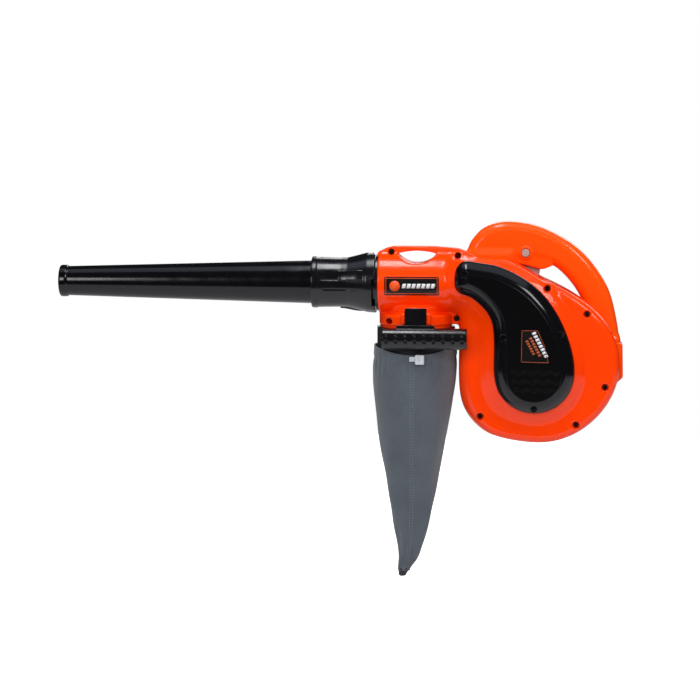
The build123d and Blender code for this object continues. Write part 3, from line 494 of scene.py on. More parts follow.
ORANGE = moulded("housing_orange_gloss", (0.98, 0.050, 0.0), (0.93, 0.043, 0.0), 0.15, 0.00002, 0.1,
                 grain_scale=350, gloss=0.38)
HANDLE_ORANGE = moulded("handle_orange_gloss", (0.98, 0.078, 0.001), (0.94, 0.066, 0.001), 0.17, 0.00002, 0.1,
                        grain_scale=350, gloss=0.38)
TUBE_BLACK = moulded("nozzle_black_gloss", (0.003, 0.003, 0.0042), (0.002, 0.002, 0.003), 0.15, 0.00003,
                     grain_scale=260)
SATIN_BLACK = moulded("collar_black_satin", (0.0042, 0.0042, 0.0054), (0.003, 0.003, 0.0038), 0.2, 0.00004,
                     gloss=0.65)
LABEL_FILM = moulded("label_black_film", (0.006, 0.004, 0.004), (0.004, 0.003, 0.003), 0.3, 0.00002)
PRINT_ORANGE = moulded("print_orange_ink", (0.85, 0.09, 0.01), (0.75, 0.07, 0.01), 0.4, 0.00001)
PRINT_BROWN = moulded("print_brown_ink", (0.42, 0.08, 0.02), (0.30, 0.06, 0.015), 0.4, 0.00001)
PRINT_WHITE = moulded("print_white_ink", (0.75, 0.75, 0.76), (0.62, 0.62, 0.63), 0.4, 0.00001)
TIE_WHITE = moulded("tie_white_nylon", (0.56, 0.58, 0.61), (0.49, 0.51, 0.54), 0.32, 0.00004)
BLACK_SCREW = moulded("screw_black_oxide", (0.02, 0.02, 0.02), (0.012, 0.012, 0.012), 0.35, 0.00005,
                      metallic=0.6)

SLOT_MATERIALS = {
    "housing_orange": ORANGE, "cover_black": TUBE_BLACK, "nozzle_black": TUBE_BLACK,
    "collar_black": SATIN_BLACK, "label": LABEL_FILM, "badge": LABEL_FILM, "tie_white": TIE_WHITE}
# slot, name, colour, darker colour, roughness, grain and how metallic it is
for slot, name, colour, dark, roughness, grain, metallic in (
        ("collar_grey", "bag_collar_grey_satin", (0.014, 0.014, 0.017), (0.009, 0.009, 0.011), 0.3, 0.00005, 0),
        ("inner_black", "inner_black_plain", (0.03, 0.03, 0.03), (0.02, 0.02, 0.02), 0.5, 0.00008, 0),
        ("seal_rubber", "rubber_black", (0.02, 0.02, 0.02), (0.014, 0.014, 0.014), 0.6, 0.0001, 0),
        # the trigger is grey plastic; its warm tint is painted reflection of the orange housing
        ("trigger_grey", "trigger_grey_with_painted_orange_reflection", (0.40, 0.33, 0.30), (0.33, 0.27, 0.25), 0.38, 0.00006, 0),
        ("bright_steel", "steel_bright_turned", (0.62, 0.62, 0.64), (0.50, 0.50, 0.52), 0.25, 0.00003, 1),
        ("dark_screw", "screw_blackened", (0.045, 0.03, 0.026), (0.016, 0.012, 0.011), 0.38, 0.00005, 0.8),
        ("brass_screw", "screw_yellow_plated", (0.34, 0.20, 0.08), (0.10, 0.06, 0.03), 0.30, 0.00005, 1),
        ("brass_part", "brass_plain", (0.75, 0.55, 0.25), (0.6, 0.43, 0.18), 0.3, 0.00003, 1),
        ("laminations", "laminations_grey", (0.24, 0.24, 0.26), (0.16, 0.16, 0.17), 0.45, 0.0001, 0.9),
        ("copper_wire", "windings_enamelled", (0.55, 0.22, 0.08), (0.40, 0.15, 0.05), 0.35, 0.0001, 0.7),
        ("cast_plate", "cast_aluminium", (0.62, 0.62, 0.64), (0.5, 0.5, 0.52), 0.45, 0.0001, 1),
        ("carbon", "carbon_dull", (0.03, 0.03, 0.03), (0.02, 0.02, 0.02), 0.7, 0.0001, 0),
        ("capacitor_grey", "capacitor_grey_plain", (0.30, 0.32, 0.38), (0.25, 0.27, 0.32), 0.45, 0.00005, 0)):
    SLOT_MATERIALS[slot] = moulded(name, colour, dark, roughness, grain, metallic=metallic)
SLOT_MATERIALS["gland_rubber"] = SLOT_MATERIALS["seal_rubber"]


def dress_cad_nodes():
    """Give each CAD node that stays its own finish."""
    for subpart in frame["record"]["subparts"]:
        node = frame["nodes"][subpart["node"]]
        if subpart["material_slot"] in SLOT_MATERIALS:
            node.data.materials.clear()
            node.data.materials.append(SLOT_MATERIALS[subpart["material_slot"]])
    frame["nodes"]["cover_screws"].data.materials[0] = BLACK_SCREW


def lock_spring():
    """The coil behind the lock button (it shortens as the button goes in), copied here as one fixed shape."""
    piece = added("lock_spring_coil", frame["nodes"]["lock_spring"].data.copy())
    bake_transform(piece)
    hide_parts("lock_spring")


# ---------------------------------------------------------------- main housing
def seat_front(away):
    """Y of the sloping seat at a distance outside the duct cover."""
    rise = 1 - away / 14.0
    eased = 0.5 * (rise + np.sqrt(rise * rise + 0.01))
    return RING_Y + (SEAT_Y - RING_Y) * np.minimum(eased, 1.0)


def scroll_form(x, y, z):
    side = SCROLL(x, z)
    widen = 1 - 0.22 * ease(-x, 10, 50)
    edge = 9.0 + 8.0 * ease(-x, 45, 80)
    front = rounded(side, (seat_front(COVER(x, z) * widen) - y) * 0.9, edge)
    back = rounded(side, y - SCROLL_BACK_Y, 4.0)
    return np.where(y < 0, front, back)


def seat_form(x, y, z):
    """The part of the seat that stands in front of the neck."""
    away = COVER(x, z)
    plateau = rounded(away - 8.5, (seat_front(away) - y) * 0.9, 3.0)
    return np.maximum.reduce([plateau, SCROLL(x, z) - 13, z - 127.5])


def neck_form(x, y, z):
    tube = rounded(np.hypot(y, z - NECK_Z) - NECK_R, between(x, NECK_LEFT, NECK_RIGHT), 2.0)
    rail = rounded(RAIL(x, z), np.abs(y) - RAIL_HALF, 2.5)
    return blend(tube, rail, 7.0)


def flange_form(x, y, z):
    around = np.hypot(x - SPOUT_X, y)
    column = rounded(around - COLUMN_R, between(z, FLANGE_TOP - 5, 74), 3.0)
    flange = rounded(around - FLANGE_R, between(z, FLANGE_LOW, FLANGE_TOP), 2.2)
    spout = rounded(around - SPOUT_R, between(z, SPOUT_LOW, FLANGE_LOW + 3), 1.0)
    keeper = brick(x, y, z, ((-151.0, -117.0), (-46.0, -36.0), (54.0, 68.0)), 2.0)
    wing = brick(x, y, z, ((-110.0, -78.0), (-RAIL_HALF, RAIL_HALF), (52.5, 70.0)), 2.0)
    flange = blend(blend(flange, keeper, 2.0), wing, 2.0)
    return np.minimum(blend(column, flange, 4.0), spout)


def housing_outside(x, y, z):
    body = blend(scroll_form(x, y, z), seat_form(x, y, z), 4.0)
    body = blend(body, neck_form(x, y, z), 9.0)
    return blend(body, flange_form(x, y, z), 4.0)


def housing_bosses(x, y, z):
    return np.minimum.reduce([
        bars_y(x, y, z, RING_SCREWS, 4.8, RING_Y + 1, SCROLL_BACK_Y - 1),
        bars_y(x, y, z, NECK_SCREWS, 5.0, -12, 12),
        bar_y(x, y, z, EMPTY_HOLE, 5.6, -40, 40),
        HANG_HOLE(x, z) - WALL])


def housing_holes(x, y, z):
    screws = np.minimum(bars_y(x, y, z, RING_SCREWS, 4.1, RING_Y - 9, RING_Y + 5.2),
                        bars_y(x, y, z, NECK_SCREWS, 3.6, -RAIL_HALF - 40, -RAIL_HALF + 3.2))
    empty = bar_y(x, y, z, EMPTY_HOLE, 3.7, -60, -8)
    mouth = np.maximum(np.hypot(y, z - NECK_Z) - (NECK_R - WALL), between(x, NECK_LEFT - 9, NECK_LEFT + 8))
    spout = np.maximum(np.hypot(x - SPOUT_X, y) - (SPOUT_R - WALL), between(z, SPOUT_LOW - 5, FLANGE_LOW))
    eye = bar_y(x, y, z, (0, 0), EYE_R, SEAT_Y - 5, RING_Y + 6)
    duct = brick(x, y, z, ((-72, -56), (SEAT_Y - 5, RING_Y + 6), (95, 117)), 1.0)
    hub = bar_y(x, y, z, (0, 0), HUB_R, SCROLL_BACK_Y - 6, SCROLL_BACK_Y + 5)
    return np.minimum.reduce([screws, empty, mouth, spout, eye, duct, hub])


def housing_form(x, y, z):
    outside = housing_outside(x, y, z)
    hollow = carve(outside + WALL, housing_bosses(x, y, z), 1.0)
    shell = carve(outside, hollow, 0.5)
    shell = carve(shell, HANG_HOLE(x, z), 2.2)
    return carve(shell, housing_holes(x, y, z), 0.9)


def housing_shells():
    """The two halves of the fan housing, parted at Y 0."""
    for name, side, low_y, high_y, cell in (("front", 1, -48, 2, 1.05), ("rear", -1, -2, 44, 1.25)):
        field_piece(f"housing_{name}", half(housing_form, 0, side), (-181, low_y, -83), (100, high_y, 145),
                    cell, "housing", ORANGE, "housing_orange", f"{name}_shell")


# ---------------------------------------------------------------- duct cover, label and badge
WAVE_ROWS = [(2.9, -26.0, 29.0), (-7.4, -26.0, 29.0), (-17.0, -23.0, 26.0)]


def wave_ribs(x, z):
    """Height of the raised wavy ribs on the cover's top."""
    height = np.zeros(np.shape(x))
    for middle, left, right in WAVE_ROWS:
        for lift in (1.1, -1.5):
            wave = middle + lift + 1.1 * np.sin((x - left) / 13.6 * 2 * math.pi)
            rib = 1 - ease(np.abs(z - wave), 0.25, 0.95)
            height = np.maximum(height, rib * ease(x, left, left + 2) * (1 - ease(x, right - 2, right)))
    return 0.55 * height


def cover_front(x, z):
    """Y of the cover's face: a bulging rim, a small step and the flat top with its ribs."""
    inward = -COVER(x, z)
    t = np.clip(inward / COVER_RIM, 0, 1)
    rim = -42.5 - 11.6 * (1 - (1 - t) ** 1.75)
    step = -0.6 * ease(inward, COVER_RIM - 0.6, COVER_RIM + 0.8)
    return np.maximum(rim + step - wave_ribs(x, z), COVER_Y)


def cover_form(x, y, z):
    side = COVER(x, z)
    face = (cover_front(x, z) - y) * 0.72
    outside = common(rounded(side, face, 1.2), y - SEAT_Y, 0.3)
    hollow = np.maximum(side + 2.2, (cover_front(x, z) + 2.8 - y) * 0.72)
    shell = carve(outside, hollow, 0.4)
    posts = bars_y(x, y, z, COVER_SCREWS, 4.9, COVER_Y + 8, SEAT_Y - 0.3)
    shell = np.minimum(shell, np.maximum(posts, side + 0.8))
    return carve(shell, bars_y(x, y, z, COVER_SCREWS, 3.5, COVER_Y - 5, COVER_Y + 8.3), 0.8)


def duct_cover():
    piece, points = field_piece("duct_cover_moulding", cover_form, (-93, -57, -48), (48, -36, 128), 0.75,
                                "housing", cover_material(), "cover_black", "duct_cover")
    inward = piece.data.attributes.new("inward", "FLOAT", "POINT")
    inward.data.foreach_set("value", np.asarray(-COVER(points[:, 0], points[:, 2]), np.float32))


def ribbon(corners, width, inset, per_side=24):
    """Quads of a thin closed border just inside a shape with straight sides."""
    corners = np.array(corners, float)
    middle = corners.mean(0)
    loops = []
    for shrink in (inset, inset + width):
        shape = cornered_loop(corners, 3.0)
        outline = []
        for i, spot in enumerate(shape):
            after = shape[(i + 1) % len(shape)]
            for s in np.arange(per_side) / per_side:
                outline.append(spot * (1 - s) + after * s)
        outline = np.array(outline)
        ahead = np.roll(outline, -1, 0) - np.roll(outline, 1, 0)
        across = np.stack([-ahead[:, 1], ahead[:, 0]], 1)
        across /= np.linalg.norm(across, axis=1)[:, None]
        across *= np.sign(((middle - outline) * across).sum(1))[:, None]
        loops.append(outline + across * shrink)
    count = len(loops[0])
    points = np.concatenate(loops)
    faces = [(i, (i + 1) % count, count + (i + 1) % count, count + i) for i in range(count)]
    return points, faces


def patch(corners, steps=10):
    """Quads filling a four-sided shape."""
    a, b, c, d = np.array(corners, float)
    points, faces = [], []
    for i in range(steps + 1):
        for j in range(steps + 1):
            s, t = i / steps, j / steps
            points.append((a * (1 - s) + b * s) * (1 - t) + (d * (1 - s) + c * s) * t)
    for i in range(steps):
        for j in range(steps):
            k = i * (steps + 1) + j
            faces.append((k, k + 1, k + steps + 2, k + steps + 1))
    return np.array(points), faces


def disc(middle, radius, count=28):
    points = [middle] + arc_spots(radius, 0, 360 * (count - 1) / count, count, *middle)
    faces = [(0, i + 1, (i + 1) % count + 1) for i in range(count)]
    return np.array(points, float), faces


def printed(name, shapes, surface):
    """Printed marks as one thin piece: shapes are (points, faces, material number)."""
    points, faces, kinds = [], [], []
    for shape_points, shape_faces, kind in shapes:
        first = len(points)
        points += [(x, surface(x, z), z) for x, z in shape_points]
        faces += [[first + i for i in f] for f in shape_faces]
        kinds += [kind] * len(shape_faces)
    piece = plain_mesh(name, points, faces)
    piece.data.polygons.foreach_set("material_index", kinds)
    solidify = piece.modifiers.new("film", "SOLIDIFY")
    solidify.thickness = 0.00012
    solidify.offset = 0
    return piece


def slanted_bars(left, low, width, height, count, lean, gap=0.35):
    """A row of slanted bars, the generic marks that stand in for lettering."""
    shapes = []
    pitch = width / count
    high = low + height
    for number in range(count):
        x = left + number * pitch
        right = x + pitch * (1 - gap)
        shapes.append([(x, low), (right, low), (right + lean, high), (x + lean, high)])
    return shapes


def turned_bars(origin, angle, rows):
    """Rows of bars turned to run down the label's slanting side."""
    turn = math.radians(angle)
    along = np.array([math.cos(turn), math.sin(turn)])
    across = np.array([-along[1], along[0]])
    shapes = []
    for start, offset, length, height, count, kind in rows:
        for bar in slanted_bars(start, offset, length, height, count, 0.5, 0.3):
            corners = [np.array(origin) + along * u + across * v for u, v in bar]
            shapes.append((*patch(corners, 2), kind))
    return shapes


def label_marks():
    shapes = [(*ribbon(LABEL_CORNERS, 0.55, 0.9), 0)]
    shapes += turned_bars((-6.0, 45.0), -62, [
        (-0.6, 3.7, 33.0, 4.4, 8, 1), (3.0, -1.8, 25.0, 3.4, 7, 0), (4.0, -7.0, 19.0, 3.2, 6, 0)])
    piece = printed("label_print", shapes, lambda x, z: COVER_Y - 0.6)
    finish_piece(piece, "housing", [PRINT_BROWN, PRINT_WHITE], "label")


def badge_marks():
    corners = [(-170.5, 108.5), (-108.5, 108.5), (-108.5, 87.5), (-170.5, 87.5)]
    shapes = [(*ribbon(corners, 0.5, 1.5), 0), (*disc((-158.7, 98.0), 6.0), 0)]
    for bar in slanted_bars(-150.8, 95.4, 38.4, 5.2, 7, 1.2, 0.24):
        shapes.append((*patch(bar, 3), 1))

    def surface(x, z):
        return -math.sqrt((NECK_R + 0.78) ** 2 - (z - NECK_Z) ** 2)

    piece = printed("badge_print", shapes, surface)
    finish_piece(piece, "housing", [PRINT_ORANGE, PRINT_WHITE], "badge")


# ---------------------------------------------------------------- handle and motor housing
def handle_outside(x, y, z):
    depth = between(y, HANDLE_FRONT, HANDLE_BACK)
    arch = rounded(ARCH(x, z), depth, 11.0)
    pod = rounded(POD(x, z), depth + 1.2, 1.6)
    arms = np.minimum(rounded(LEFT_ARM(x, z), depth, 5.0), rounded(RIGHT_ARM(x, z), depth, 5.0))
    inlet = rounded(INLET(x, z), depth, 2.0)
    barrel = rounded(np.hypot(x, z) - BARREL_R, between(y, HANDLE_FRONT, BARREL_BACK), 2.0)
    body = blend(blend(arch, arms, 8.0), barrel, 6.0)
    return np.minimum(blend(body, pod, 2.0), inlet)


def barrel_slots(x, y, z):
    """Rows of narrow air slots over the top and the bottom of the barrel."""
    turn = np.degrees(np.arctan2(x, np.abs(z)))
    local = np.radians((turn + 4.5) % 9.0 - 4.5)
    radius = np.hypot(x, z)
    slot = rounded(np.abs(radius * np.sin(local)) - 1.6, between(y, 70, 92), 1.5)
    return np.maximum.reduce([slot, np.abs(turn) - 40.0, 44 - radius])


def handle_form(x, y, z):
    outside = handle_outside(x, y, z)
    bosses = bars_y(x, y, z, HANDLE_SCREWS, 5.0, HANDLE_FRONT + 1, HANDLE_BACK - 1)
    hollow = carve(outside + WALL, bosses, 1.0)
    ring = bar_y(x, y, z, (LOCK_X, LOCK_Z), 7.7, HANDLE_FRONT - 0.9, HANDLE_FRONT + 6, 0.8)
    shell = np.minimum(carve(outside, hollow, 0.5), ring)
    holes = bars_y(x, y, z, HANDLE_SCREWS, 3.5, HANDLE_BACK - 4, HANDLE_BACK + 5)
    lock = bar_y(x, y, z, (LOCK_X, LOCK_Z), 5.0, HANDLE_FRONT - 5, HANDLE_FRONT + 9)
    gap = brick(x, y, z, ((-25.4, 8.6), (HANDLE_MID - 8.6, HANDLE_MID + 8.6), (104, 127.5)), 0.5)
    gland = bar_y(x, y, z, (88, 12), 6.6, HANDLE_BACK - 6, HANDLE_BACK + 5)
    nose = bar_y(x, y, z, (0, 0), HUB_R, HANDLE_FRONT - 5, HANDLE_FRONT + 5)
    end = bar_y(x, y, z, (0, 0), BARREL_R - WALL, BARREL_BACK - 6, BARREL_BACK + 6, 0.3)
    brush = np.maximum(np.hypot(y - 99.3, z) - 6.8, np.abs(x) - 60)
    cut = np.minimum.reduce([holes, lock, gap, gland, nose, end, brush, barrel_slots(x, y, z)])
    return carve(shell, cut, 0.8)


def handle_shells():
    """The two halves of the handle, parted at its middle plane; the rear one holds the motor."""
    for name, side, low_y, high_y, cell in (("front", 1, 27, 49, 1.1), ("rear", -1, 45, 112, 1.3)):
        field_piece(f"handle_{name}", half(handle_form, HANDLE_MID, side), (-81, low_y, -56),
                    (105, high_y, 172), cell, "housing", HANDLE_ORANGE, "housing_orange",
                    f"handle_{name}_shell")


# ---------------------------------------------------------------- nozzle
def nozzle_tube():
    """The tapered tube with its rolled lip and the ring of its foot."""
    bore = TUBE_ROOT_R - 2.0
    profile = eased_profile([
        (TIP_X, TIP_BORE), (TIP_X, TIP_R - 0.8), (TIP_X + 1.4, TIP_R), (TIP_X + 7.8, TIP_R),
        (TIP_X + 9.6, TUBE_TIP_R), (TUBE_ROOT_X, TUBE_ROOT_R), (FOOT_LEFT, TUBE_ROOT_R), (FOOT_LEFT, FOOT_R),
        (FOOT_RIGHT, FOOT_R), (FOOT_RIGHT, bore), (TUBE_ROOT_X, bore), (TIP_X + 14, TIP_BORE)], 1.0)
    piece = lathe("nozzle_tube_moulding", profile)
    finish_piece(piece, "nozzle", TUBE_BLACK, "nozzle_black", "nozzle_tube")


def mouth_ring():
    profile = eased_profile([
        (-199, 25.5), (-199, 27.2), (-197.5, 28.0), (-182, 28.0), (-182, 32.5), (-179, 32.5), (-179, 31.9),
        (-171, 31.9), (-171, 25.5)], 0.5)
    piece = lathe("mouth_ring_moulding", profile)
    finish_piece(piece, "housing", SATIN_BLACK, "cover_black", "mouth_ring")


COLLAR_OUTSIDE = [(COLLAR_LEFT, 29.3), (-254.5, 29.6), (-250.5, 29.6), (-248.5, 28.9), (-222, 28.4),
                  (-214, 28.7), (-204, 31.2), (-192, 34.4), (COLLAR_RIGHT, 35.1)]


def collar_form(x, y, z):
    """The flared collar: a bead, grip wedges, thin grooves, a notch and a stepped edge."""
    radius = np.hypot(y, z - NECK_Z)
    turn = np.degrees(np.arctan2(z - NECK_Z, -y))
    outer = np.interp(x, *np.array(COLLAR_OUTSIDE).T)
    step_edge = COLLAR_RIGHT - 3.2 * ease(np.abs((turn + 20) % 120 - 60), 30, 32)
    outside = rounded(radius - outer, np.maximum(COLLAR_LEFT - x, x - step_edge), 0.8)
    third = np.radians((turn + 60 - 18) % 120 - 60)
    across = radius * np.sin(third)
    wedge_top = 29.4 + 3.3 * ease(x, -224, -200)
    wedge = rounded(np.maximum(radius - wedge_top - 0.8, np.abs(across) - 5.5), between(x, -224, -196.0), 0.7)
    outside = blend(outside, wedge, 0.8)
    groove_turn = np.radians((turn + 60 + 14) % 120 - 60)
    groove_across = radius * np.sin(groove_turn)
    groove = np.maximum(np.hypot(radius - outer, groove_across) - 0.75, between(x, -241, -204))
    spline = np.maximum(np.hypot(radius - outer, across + 4.8) - 0.7, between(x, -244, -224))
    notch = np.maximum(np.hypot(x + 247, radius - 30.2) - 1.7, np.abs((turn + 78 + 180) % 360 - 180) - 5)
    outside = carve(outside, np.minimum.reduce([groove, spline, notch]), 0.4)
    bore = np.interp(x, [-257, -208.01, -208, -201.01, -201, -193, -190, -181],
                     [25.4, 25.4, 27.6, 27.6, 28.5, 28.5, 31.0, 33.4])
    return carve(outside, radius - bore, 0.4)


def nozzle_collar():
    field_piece("nozzle_collar_moulding", collar_form, (-258, -38, 62), (-180, 38, 138), 0.8,
                "collar", SATIN_BLACK, "collar_black", "nozzle_collar")


# ---------------------------------------------------------------- bag latch
def latch_form(x, y, z):
    """The squeeze lever: a half-round hollow bar with dimples, and a tab above it."""
    radius = np.hypot(y - BAR_Y, z - BAR_Z)
    bar = np.maximum(rounded(radius - BAR_R, between(x, *BAR_ENDS), 1.0), y - BAR_Y)
    hollow = np.maximum(radius - 9.8, between(x, BAR_ENDS[0] + 2, BAR_ENDS[1] - 2))
    bar = carve(bar, hollow, 0.5)
    pitch = 10.7
    first = BAR_ENDS[0] + 5.3
    nearest = first + pitch * np.clip(np.round((x - first) / pitch), 0, 8)
    dimples = []
    for angle, size in ((155, 1.9), (193, 2.1)):
        turn = math.radians(angle)
        out = BAR_R + 0.4
        centre_y, centre_z = BAR_Y + out * math.cos(turn), BAR_Z + out * math.sin(turn)
        dimples.append(np.sqrt((x - nearest) ** 2 + (y - centre_y) ** 2 + (z - centre_z) ** 2) - size)
    bar = carve(bar, np.minimum(*dimples), 0.4)
    barrel = rounded(np.hypot(y - PIN_Y, z - PIN_Z) - 3.2, between(x, LATCH_X - 15.6, LATCH_X + 15.6), 0.5)
    tab = brick(x, y, z, ((-146.4, -121.4), (-52.0, -48.6), (48.5, 74.0)), 1.0)
    plate = brick(x, y, z, ((-155.5, -112.3), (-54.6, -53.0), (49.8, 54.6)), 0.5)
    lever = blend(blend(bar, barrel, 1.5), np.minimum(tab, plate), 1.0)
    gaps = brick(np.abs(x - LATCH_X), y, z, ((15.5, 20.9), (-53.0, -40), (44, 60)), 0.4)
    spring = brick(x, y, z, ((LATCH_X - 5, LATCH_X + 5), (-51.2, -40), (38, 54.2)), 0.4)
    pin = np.hypot(y - PIN_Y, z - PIN_Z) - 1.7
    return carve(lever, np.minimum.reduce([gaps, spring, pin]), 0.5)


def bag_latch():
    field_piece("bag_latch_lever", latch_form, (-174, -65, 25), (-74, -45, 76), 0.7,
                "latch", SATIN_BLACK, "collar_black", "bag_latch")


# ---------------------------------------------------------------- dust bag
BAG_SHAPE = np.array([          # height, middle X, half width in X, half depth in Y
    (30, -136.4, 47.6, 47.0), (0, -137.6, 47.6, 46.6), (-30, -138.7, 45.6, 44.0),
    (-60, -138.6, 41.7, 39.0), (-100, -139.3, 35.2, 30.5), (-145, -139.6, 26.5, 21.0),
    (-180, -140.8, 19.2, 14.2), (-203, -142.2, 14.4, 10.3), (-218, -144.6, 11.6, 8.0),
    (-234, -149.6, 6.6, 4.6)])
BAG_TOP, BAG_LOW = 29.0, -236.0
BAG_ROWS, BAG_COLUMNS = 150, 220
HEM = 11.0                      # height of the folded hem at the mouth


def eased_table(value, knots, column):
    """A smooth value between the rows of a table, whose heights fall."""
    heights, values = knots[::-1, 0], knots[::-1, column]
    slopes = np.gradient(values, heights)
    index = np.clip(np.searchsorted(heights, value) - 1, 0, len(heights) - 2)
    span = heights[index + 1] - heights[index]
    s = np.clip((value - heights[index]) / span, 0, 1)
    return ((2 * s ** 3 - 3 * s ** 2 + 1) * values[index] + (s ** 3 - 2 * s ** 2 + s) * span * slopes[index]
            + (3 * s ** 2 - 2 * s ** 3) * values[index + 1] + (s ** 3 - s ** 2) * span * slopes[index + 1])


def rim_height(angle):
    """The mouth dips at the front and stands up at the sides."""
    dip = np.maximum(-np.sin(angle), 0) ** 2
    return 28.8 - 8.8 * dip


def bag_point(angle, down):
    """A point of the cloth: angle round the bag, and down from 0 at the mouth to 1 at the tip."""
    top = rim_height(angle)
    level = BAG_TOP + (BAG_LOW - BAG_TOP) * down
    z = level + (top - BAG_TOP) * np.exp(-down * 12)
    middle, wide, deep = (eased_table(z, BAG_SHAPE, column) for column in (1, 2, 3))
    gather = 0.55 * np.exp(-((z - 6) / 11) ** 2) * np.sin(31 * angle + 1.3 * np.sin(3 * angle))
    fading = 1 - ease(-z, 215, 236)
    fold = 1.5 * ease(-z, -5, 60) * np.sin(3 * angle + 0.021 * z + 0.7) * fading
    fold = fold + 1.0 * ease(-z, 40, 110) * np.sin(5 * angle - 0.045 * z + 2.1) * fading
    fold = fold + 0.7 * ease(-z, 120, 190) * np.sin(7 * angle + 0.08 * z)
    sag = 0.9 * np.exp(-((z + 12) / 16) ** 2)
    strap = -0.5 * np.exp(-((z - 14.4) / 3.0) ** 2)
    seam = 0.55 * np.exp(-(((angle + math.pi / 2) * wide) / 1.3) ** 2)
    hem = 0.35 * (1 - ease((top - z), HEM - 0.8, HEM + 0.4))
    grow = gather + fold * np.abs(np.cos(angle)) ** 0.5 + sag + strap + seam + hem
    grow = np.where(z > -4, np.maximum(grow, -0.6), grow)
    return middle + (wide + grow) * np.cos(angle), (deep + grow) * np.sin(angle), z


def bag_surface():
    """Points and faces of the open cloth tube, with each corner's place on the flat cloth."""
    angles = math.pi / 2 + np.arange(BAG_COLUMNS) / BAG_COLUMNS * 2 * math.pi - 2 * math.pi
    downs = np.linspace(0, 1, BAG_ROWS) ** 1.05
    points, faces, corners = [], [], []
    for down in downs:
        x, y, z = bag_point(angles, down)
        points += list(zip(x, y, z))
    width = 280.0 / CLOTH_UNIT
    for i in range(BAG_ROWS - 1):
        for j in range(BAG_COLUMNS):
            k = (j + 1) % BAG_COLUMNS
            first, second = i * BAG_COLUMNS, (i + 1) * BAG_COLUMNS
            faces.append((first + j, second + j, second + k, first + k))
            left, right = j / BAG_COLUMNS * width, (j + 1) / BAG_COLUMNS * width
            high, low = downs[i] * 270 / CLOTH_UNIT, downs[i + 1] * 270 / CLOTH_UNIT
            corners += [(left, high), (left, low), (right, low), (right, high)]
    return points, faces, corners


def stitch_rows():
    """Places and directions of the stitches of the hem and of the front seam."""
    rows = []
    for number in range(92):
        angle = number / 92 * 2 * math.pi
        ends = []
        for shift in (-0.011, 0.011):
            down = (HEM + 0.3) / 268.0
            ends.append(np.array(bag_point(np.array(angle + shift), down)))
        rows.append(ends)
    for side in (-1.5, 1.5):
        for number in range(70):
            down = 0.05 + 0.9 * number / 70
            wide = eased_table(BAG_TOP + (BAG_LOW - BAG_TOP) * down, BAG_SHAPE, 2)
            angle = np.array(-math.pi / 2 + side / wide)
            rows.append([np.array(bag_point(angle, down + shift)) for shift in (-0.0040, 0.0040)])
    return rows


def stitches():
    """Small spindles of thread, each standing a little out of the cloth."""
    points, faces = [], []
    for start, end in stitch_rows():
        middle = (start + end) / 2
        out = middle - np.array([eased_table(middle[2], BAG_SHAPE, 1), 0, middle[2]])
        out /= np.linalg.norm(out)
        along = end - start
        side = np.cross(along, out)
        side /= np.linalg.norm(side)
        first = len(points)
        centre = middle + out * 0.25
        points += [start + out * 0.1, centre + side * 0.32, centre + out * 0.35, centre - side * 0.32,
                   centre - out * 0.3, end + out * 0.1]
        for k in range(4):
            a, b = first + 1 + k, first + 1 + (k + 1) % 4
            faces += [(first, a, b), (first + 5, b, a)]
    return plain_mesh("bag_stitches", points, faces)


def dust_bag():
    points, faces, corners = bag_surface()
    bag = plain_mesh("dust_bag_cloth", points, faces)
    layer = bag.data.uv_layers.new(name="cloth")
    layer.data.foreach_set("uv", np.array(corners, np.float32).ravel())
    solidify = bag.modifiers.new("cloth", "SOLIDIFY")
    solidify.thickness = 0.0011
    solidify.offset = -1
    finish_piece(bag, "bag_unit", FABRIC, "bag_fabric", "dust_bag")
    thread = stitches()
    finish_piece(thread, "bag_unit", THREAD, "bag_fabric")


def tip_form(x, y, z):
    """The folded end of the bag, pinched in a small black clip."""
    t = np.clip((-232 - z) / 10.4, 0, 1)
    middle = -149.2 - 2.4 * t
    wide, deep = 7.2 - 3.4 * t, 4.9 - 1.7 * t
    around = (np.hypot((x - middle) / wide, y / deep) - 1) * deep
    clip = rounded(around, between(z, -242.4, -232.6), 1.2)
    ridge = np.maximum(np.hypot(y, z + 236.2) - deep * 0.4, np.abs(x - middle) - wide * 0.9)
    return carve(clip, ridge - 0.4 * deep + 20, 0.5)


def bag_tip():
    field_piece("bag_tip_clip", tip_form, (-160, -8, -246), (-139, 8, -229), 0.5,
                "bag_unit", SATIN_BLACK, "collar_black", "bag_tip")


def tie_form(x, y, z):
    """The cable tie: a thin ribbed strap, a chunky head with its window, and the cut end."""
    radius = np.hypot(x + 136.4, y)
    strap = rounded(np.abs(radius - 45.6) - 0.45, between(z, 12.1, 16.7), 0.4)
    head = brick(x, y, z, ((-134.5, -124.0), (-52.8, -47.4), (9.9, 20.9)), 1.3)
    window = brick(x, y, z, ((-131.2, -128.6), (-54.0, -51.6), (13.0, 18.0)), 0.3)
    stub = brick(x, y, z, ((-141.0, -133.0), (-50.0, -48.0), (13.2, 18.6)), 0.5)
    return carve(np.minimum(np.minimum(strap, stub), head), window, 0.3)


def cable_tie():
    field_piece("cable_tie_nylon", tie_form, (-187, -54, 8), (-86, 50, 22), 0.7,
                "bag_unit", TIE_WHITE, "tie_white", "cable_tie")


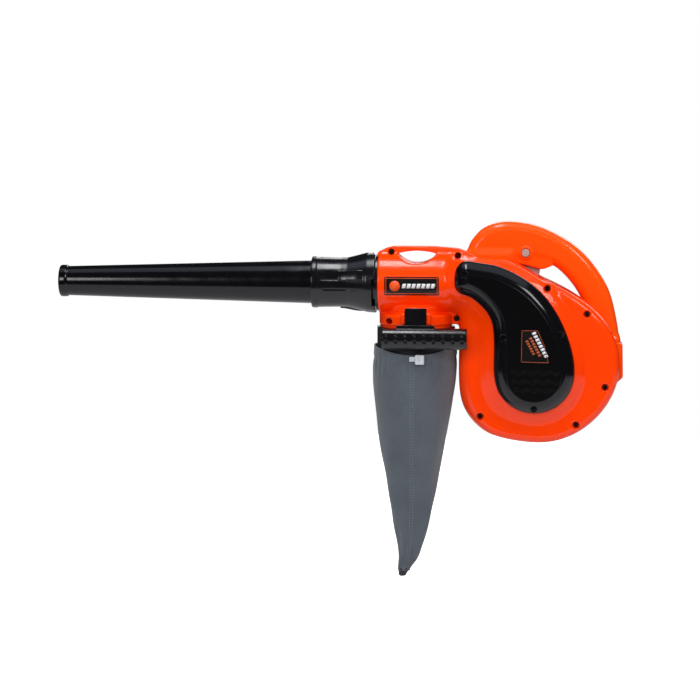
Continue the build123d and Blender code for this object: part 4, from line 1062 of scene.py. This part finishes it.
# ---------------------------------------------------------------- studio
def studio():
    scene = bpy.context.scene
    scene.view_settings.view_transform = "Standard"
    spots = [(x, y, -250) for x, y in ((-1500, -700), (1300, -700), (1300, 1300), (-1500, 1300))]
    floor = plain_mesh("floor", spots, [(0, 1, 2, 3)], False)
    material, tree, shader, coords = new_material("floor_pale")
    joined(tree, shader, {
        "Base Color": mixed(tree, noise(tree, coords, 2), (0.50, 0.50, 0.51), (0.54, 0.54, 0.55)),
        "Roughness": 0.9, "Emission Color": (1, 1, 1, 1),
        "Emission Strength": ranged(tree, made(tree, "LightPath", {}, "Is Camera Ray"), 0.14, 1.0, 0, 1)})
    floor.data.materials.append(material)
    world = bpy.data.worlds.new("studio")
    scene.world = world
    world.use_nodes = True
    tree = world.node_tree
    strength = ranged(tree, made(tree, "LightPath", {}, "Is Glossy Ray"), 0.30, 0.02, 0, 1)
    felt = made(tree, "Background", {"Color": (0.92, 0.95, 1, 1), "Strength": strength}, "Background")
    joined(tree, tree.nodes["Background"], {"Color": (1, 1, 1, 1), "Strength": 1.0})
    either = made(tree, "MixShader", {0: made(tree, "LightPath", {}, "Is Camera Ray"), 1: felt,
                                      2: tree.nodes["Background"].outputs["Background"]}, "Shader")
    joined(tree, tree.nodes["World Output"], {"Surface": either})


def softbox(name, spot, target, size, power, mirrored=True, tint=(1, 1, 1)):
    lamp = bpy.data.lights.new(name, "AREA")
    lamp.shape = "RECTANGLE"
    lamp.size, lamp.size_y = size[0] / 1000, size[1] / 1000
    lamp.energy = power
    lamp.color = tint
    holder = added(name, lamp)
    holder.location = place(spot)
    aim = Vector(place(target)) - holder.location
    holder.rotation_euler = aim.to_track_quat("-Z", "Y").to_euler()
    holder.visible_glossy = mirrored


def lights():
    softbox("overhead_left", (-262, -195, 1100), (-262, -195, 100), (200, 470), 2.9)
    softbox("ceiling", (-200, -100, 1250), (-200, -100, 100), (2200, 700), 3.0, tint=(0.78, 0.86, 1.0))
    softbox("top_fill", (-60, -600, 1400), (-60, 0, 60), (900, 600), 8, mirrored=False)
    softbox("upper_right", (760, -620, 820), (40, 0, 40), (260, 420), 3.0)
    softbox("front_left", (-900, -1500, 500), (-60, 0, 40), (250, 500), 3.0)
    softbox("front_fill", (-100, -2300, 1100), (-60, 0, 20), (1500, 900), 31, mirrored=False)
    softbox("rear", (300, 1700, 900), (0, 60, 40), (1500, 1200), 15)


def camera():
    frame_widths = 22 / 7           # focal length against the width of the picture
    data = bpy.data.cameras.new("camera")
    data.sensor_width = 36.0
    data.lens = data.sensor_width * frame_widths
    data.clip_start, data.clip_end = 0.1, 50
    holder = added("camera", data)
    holder.location = place((8.35, -2525.13, 260.85))
    holder.rotation_euler = Vector((-0.0868, 0.9918, -0.0941)).to_track_quat("-Z", "Y").to_euler()
    bpy.context.scene.camera = holder


# ---------------------------------------------------------------- the whole object
FABRIC = fabric_material()
THREAD = moulded("thread_light_grey", (0.30, 0.32, 0.35), (0.22, 0.24, 0.27), 0.8, 0.0001)
dress_cad_nodes()
lock_spring()
housing_shells()
duct_cover()
label_marks()
badge_marks()
handle_shells()
nozzle_tube()
mouth_ring()
nozzle_collar()
bag_latch()
dust_bag()
bag_tip()
cable_tie()
studio()
lights()
camera()
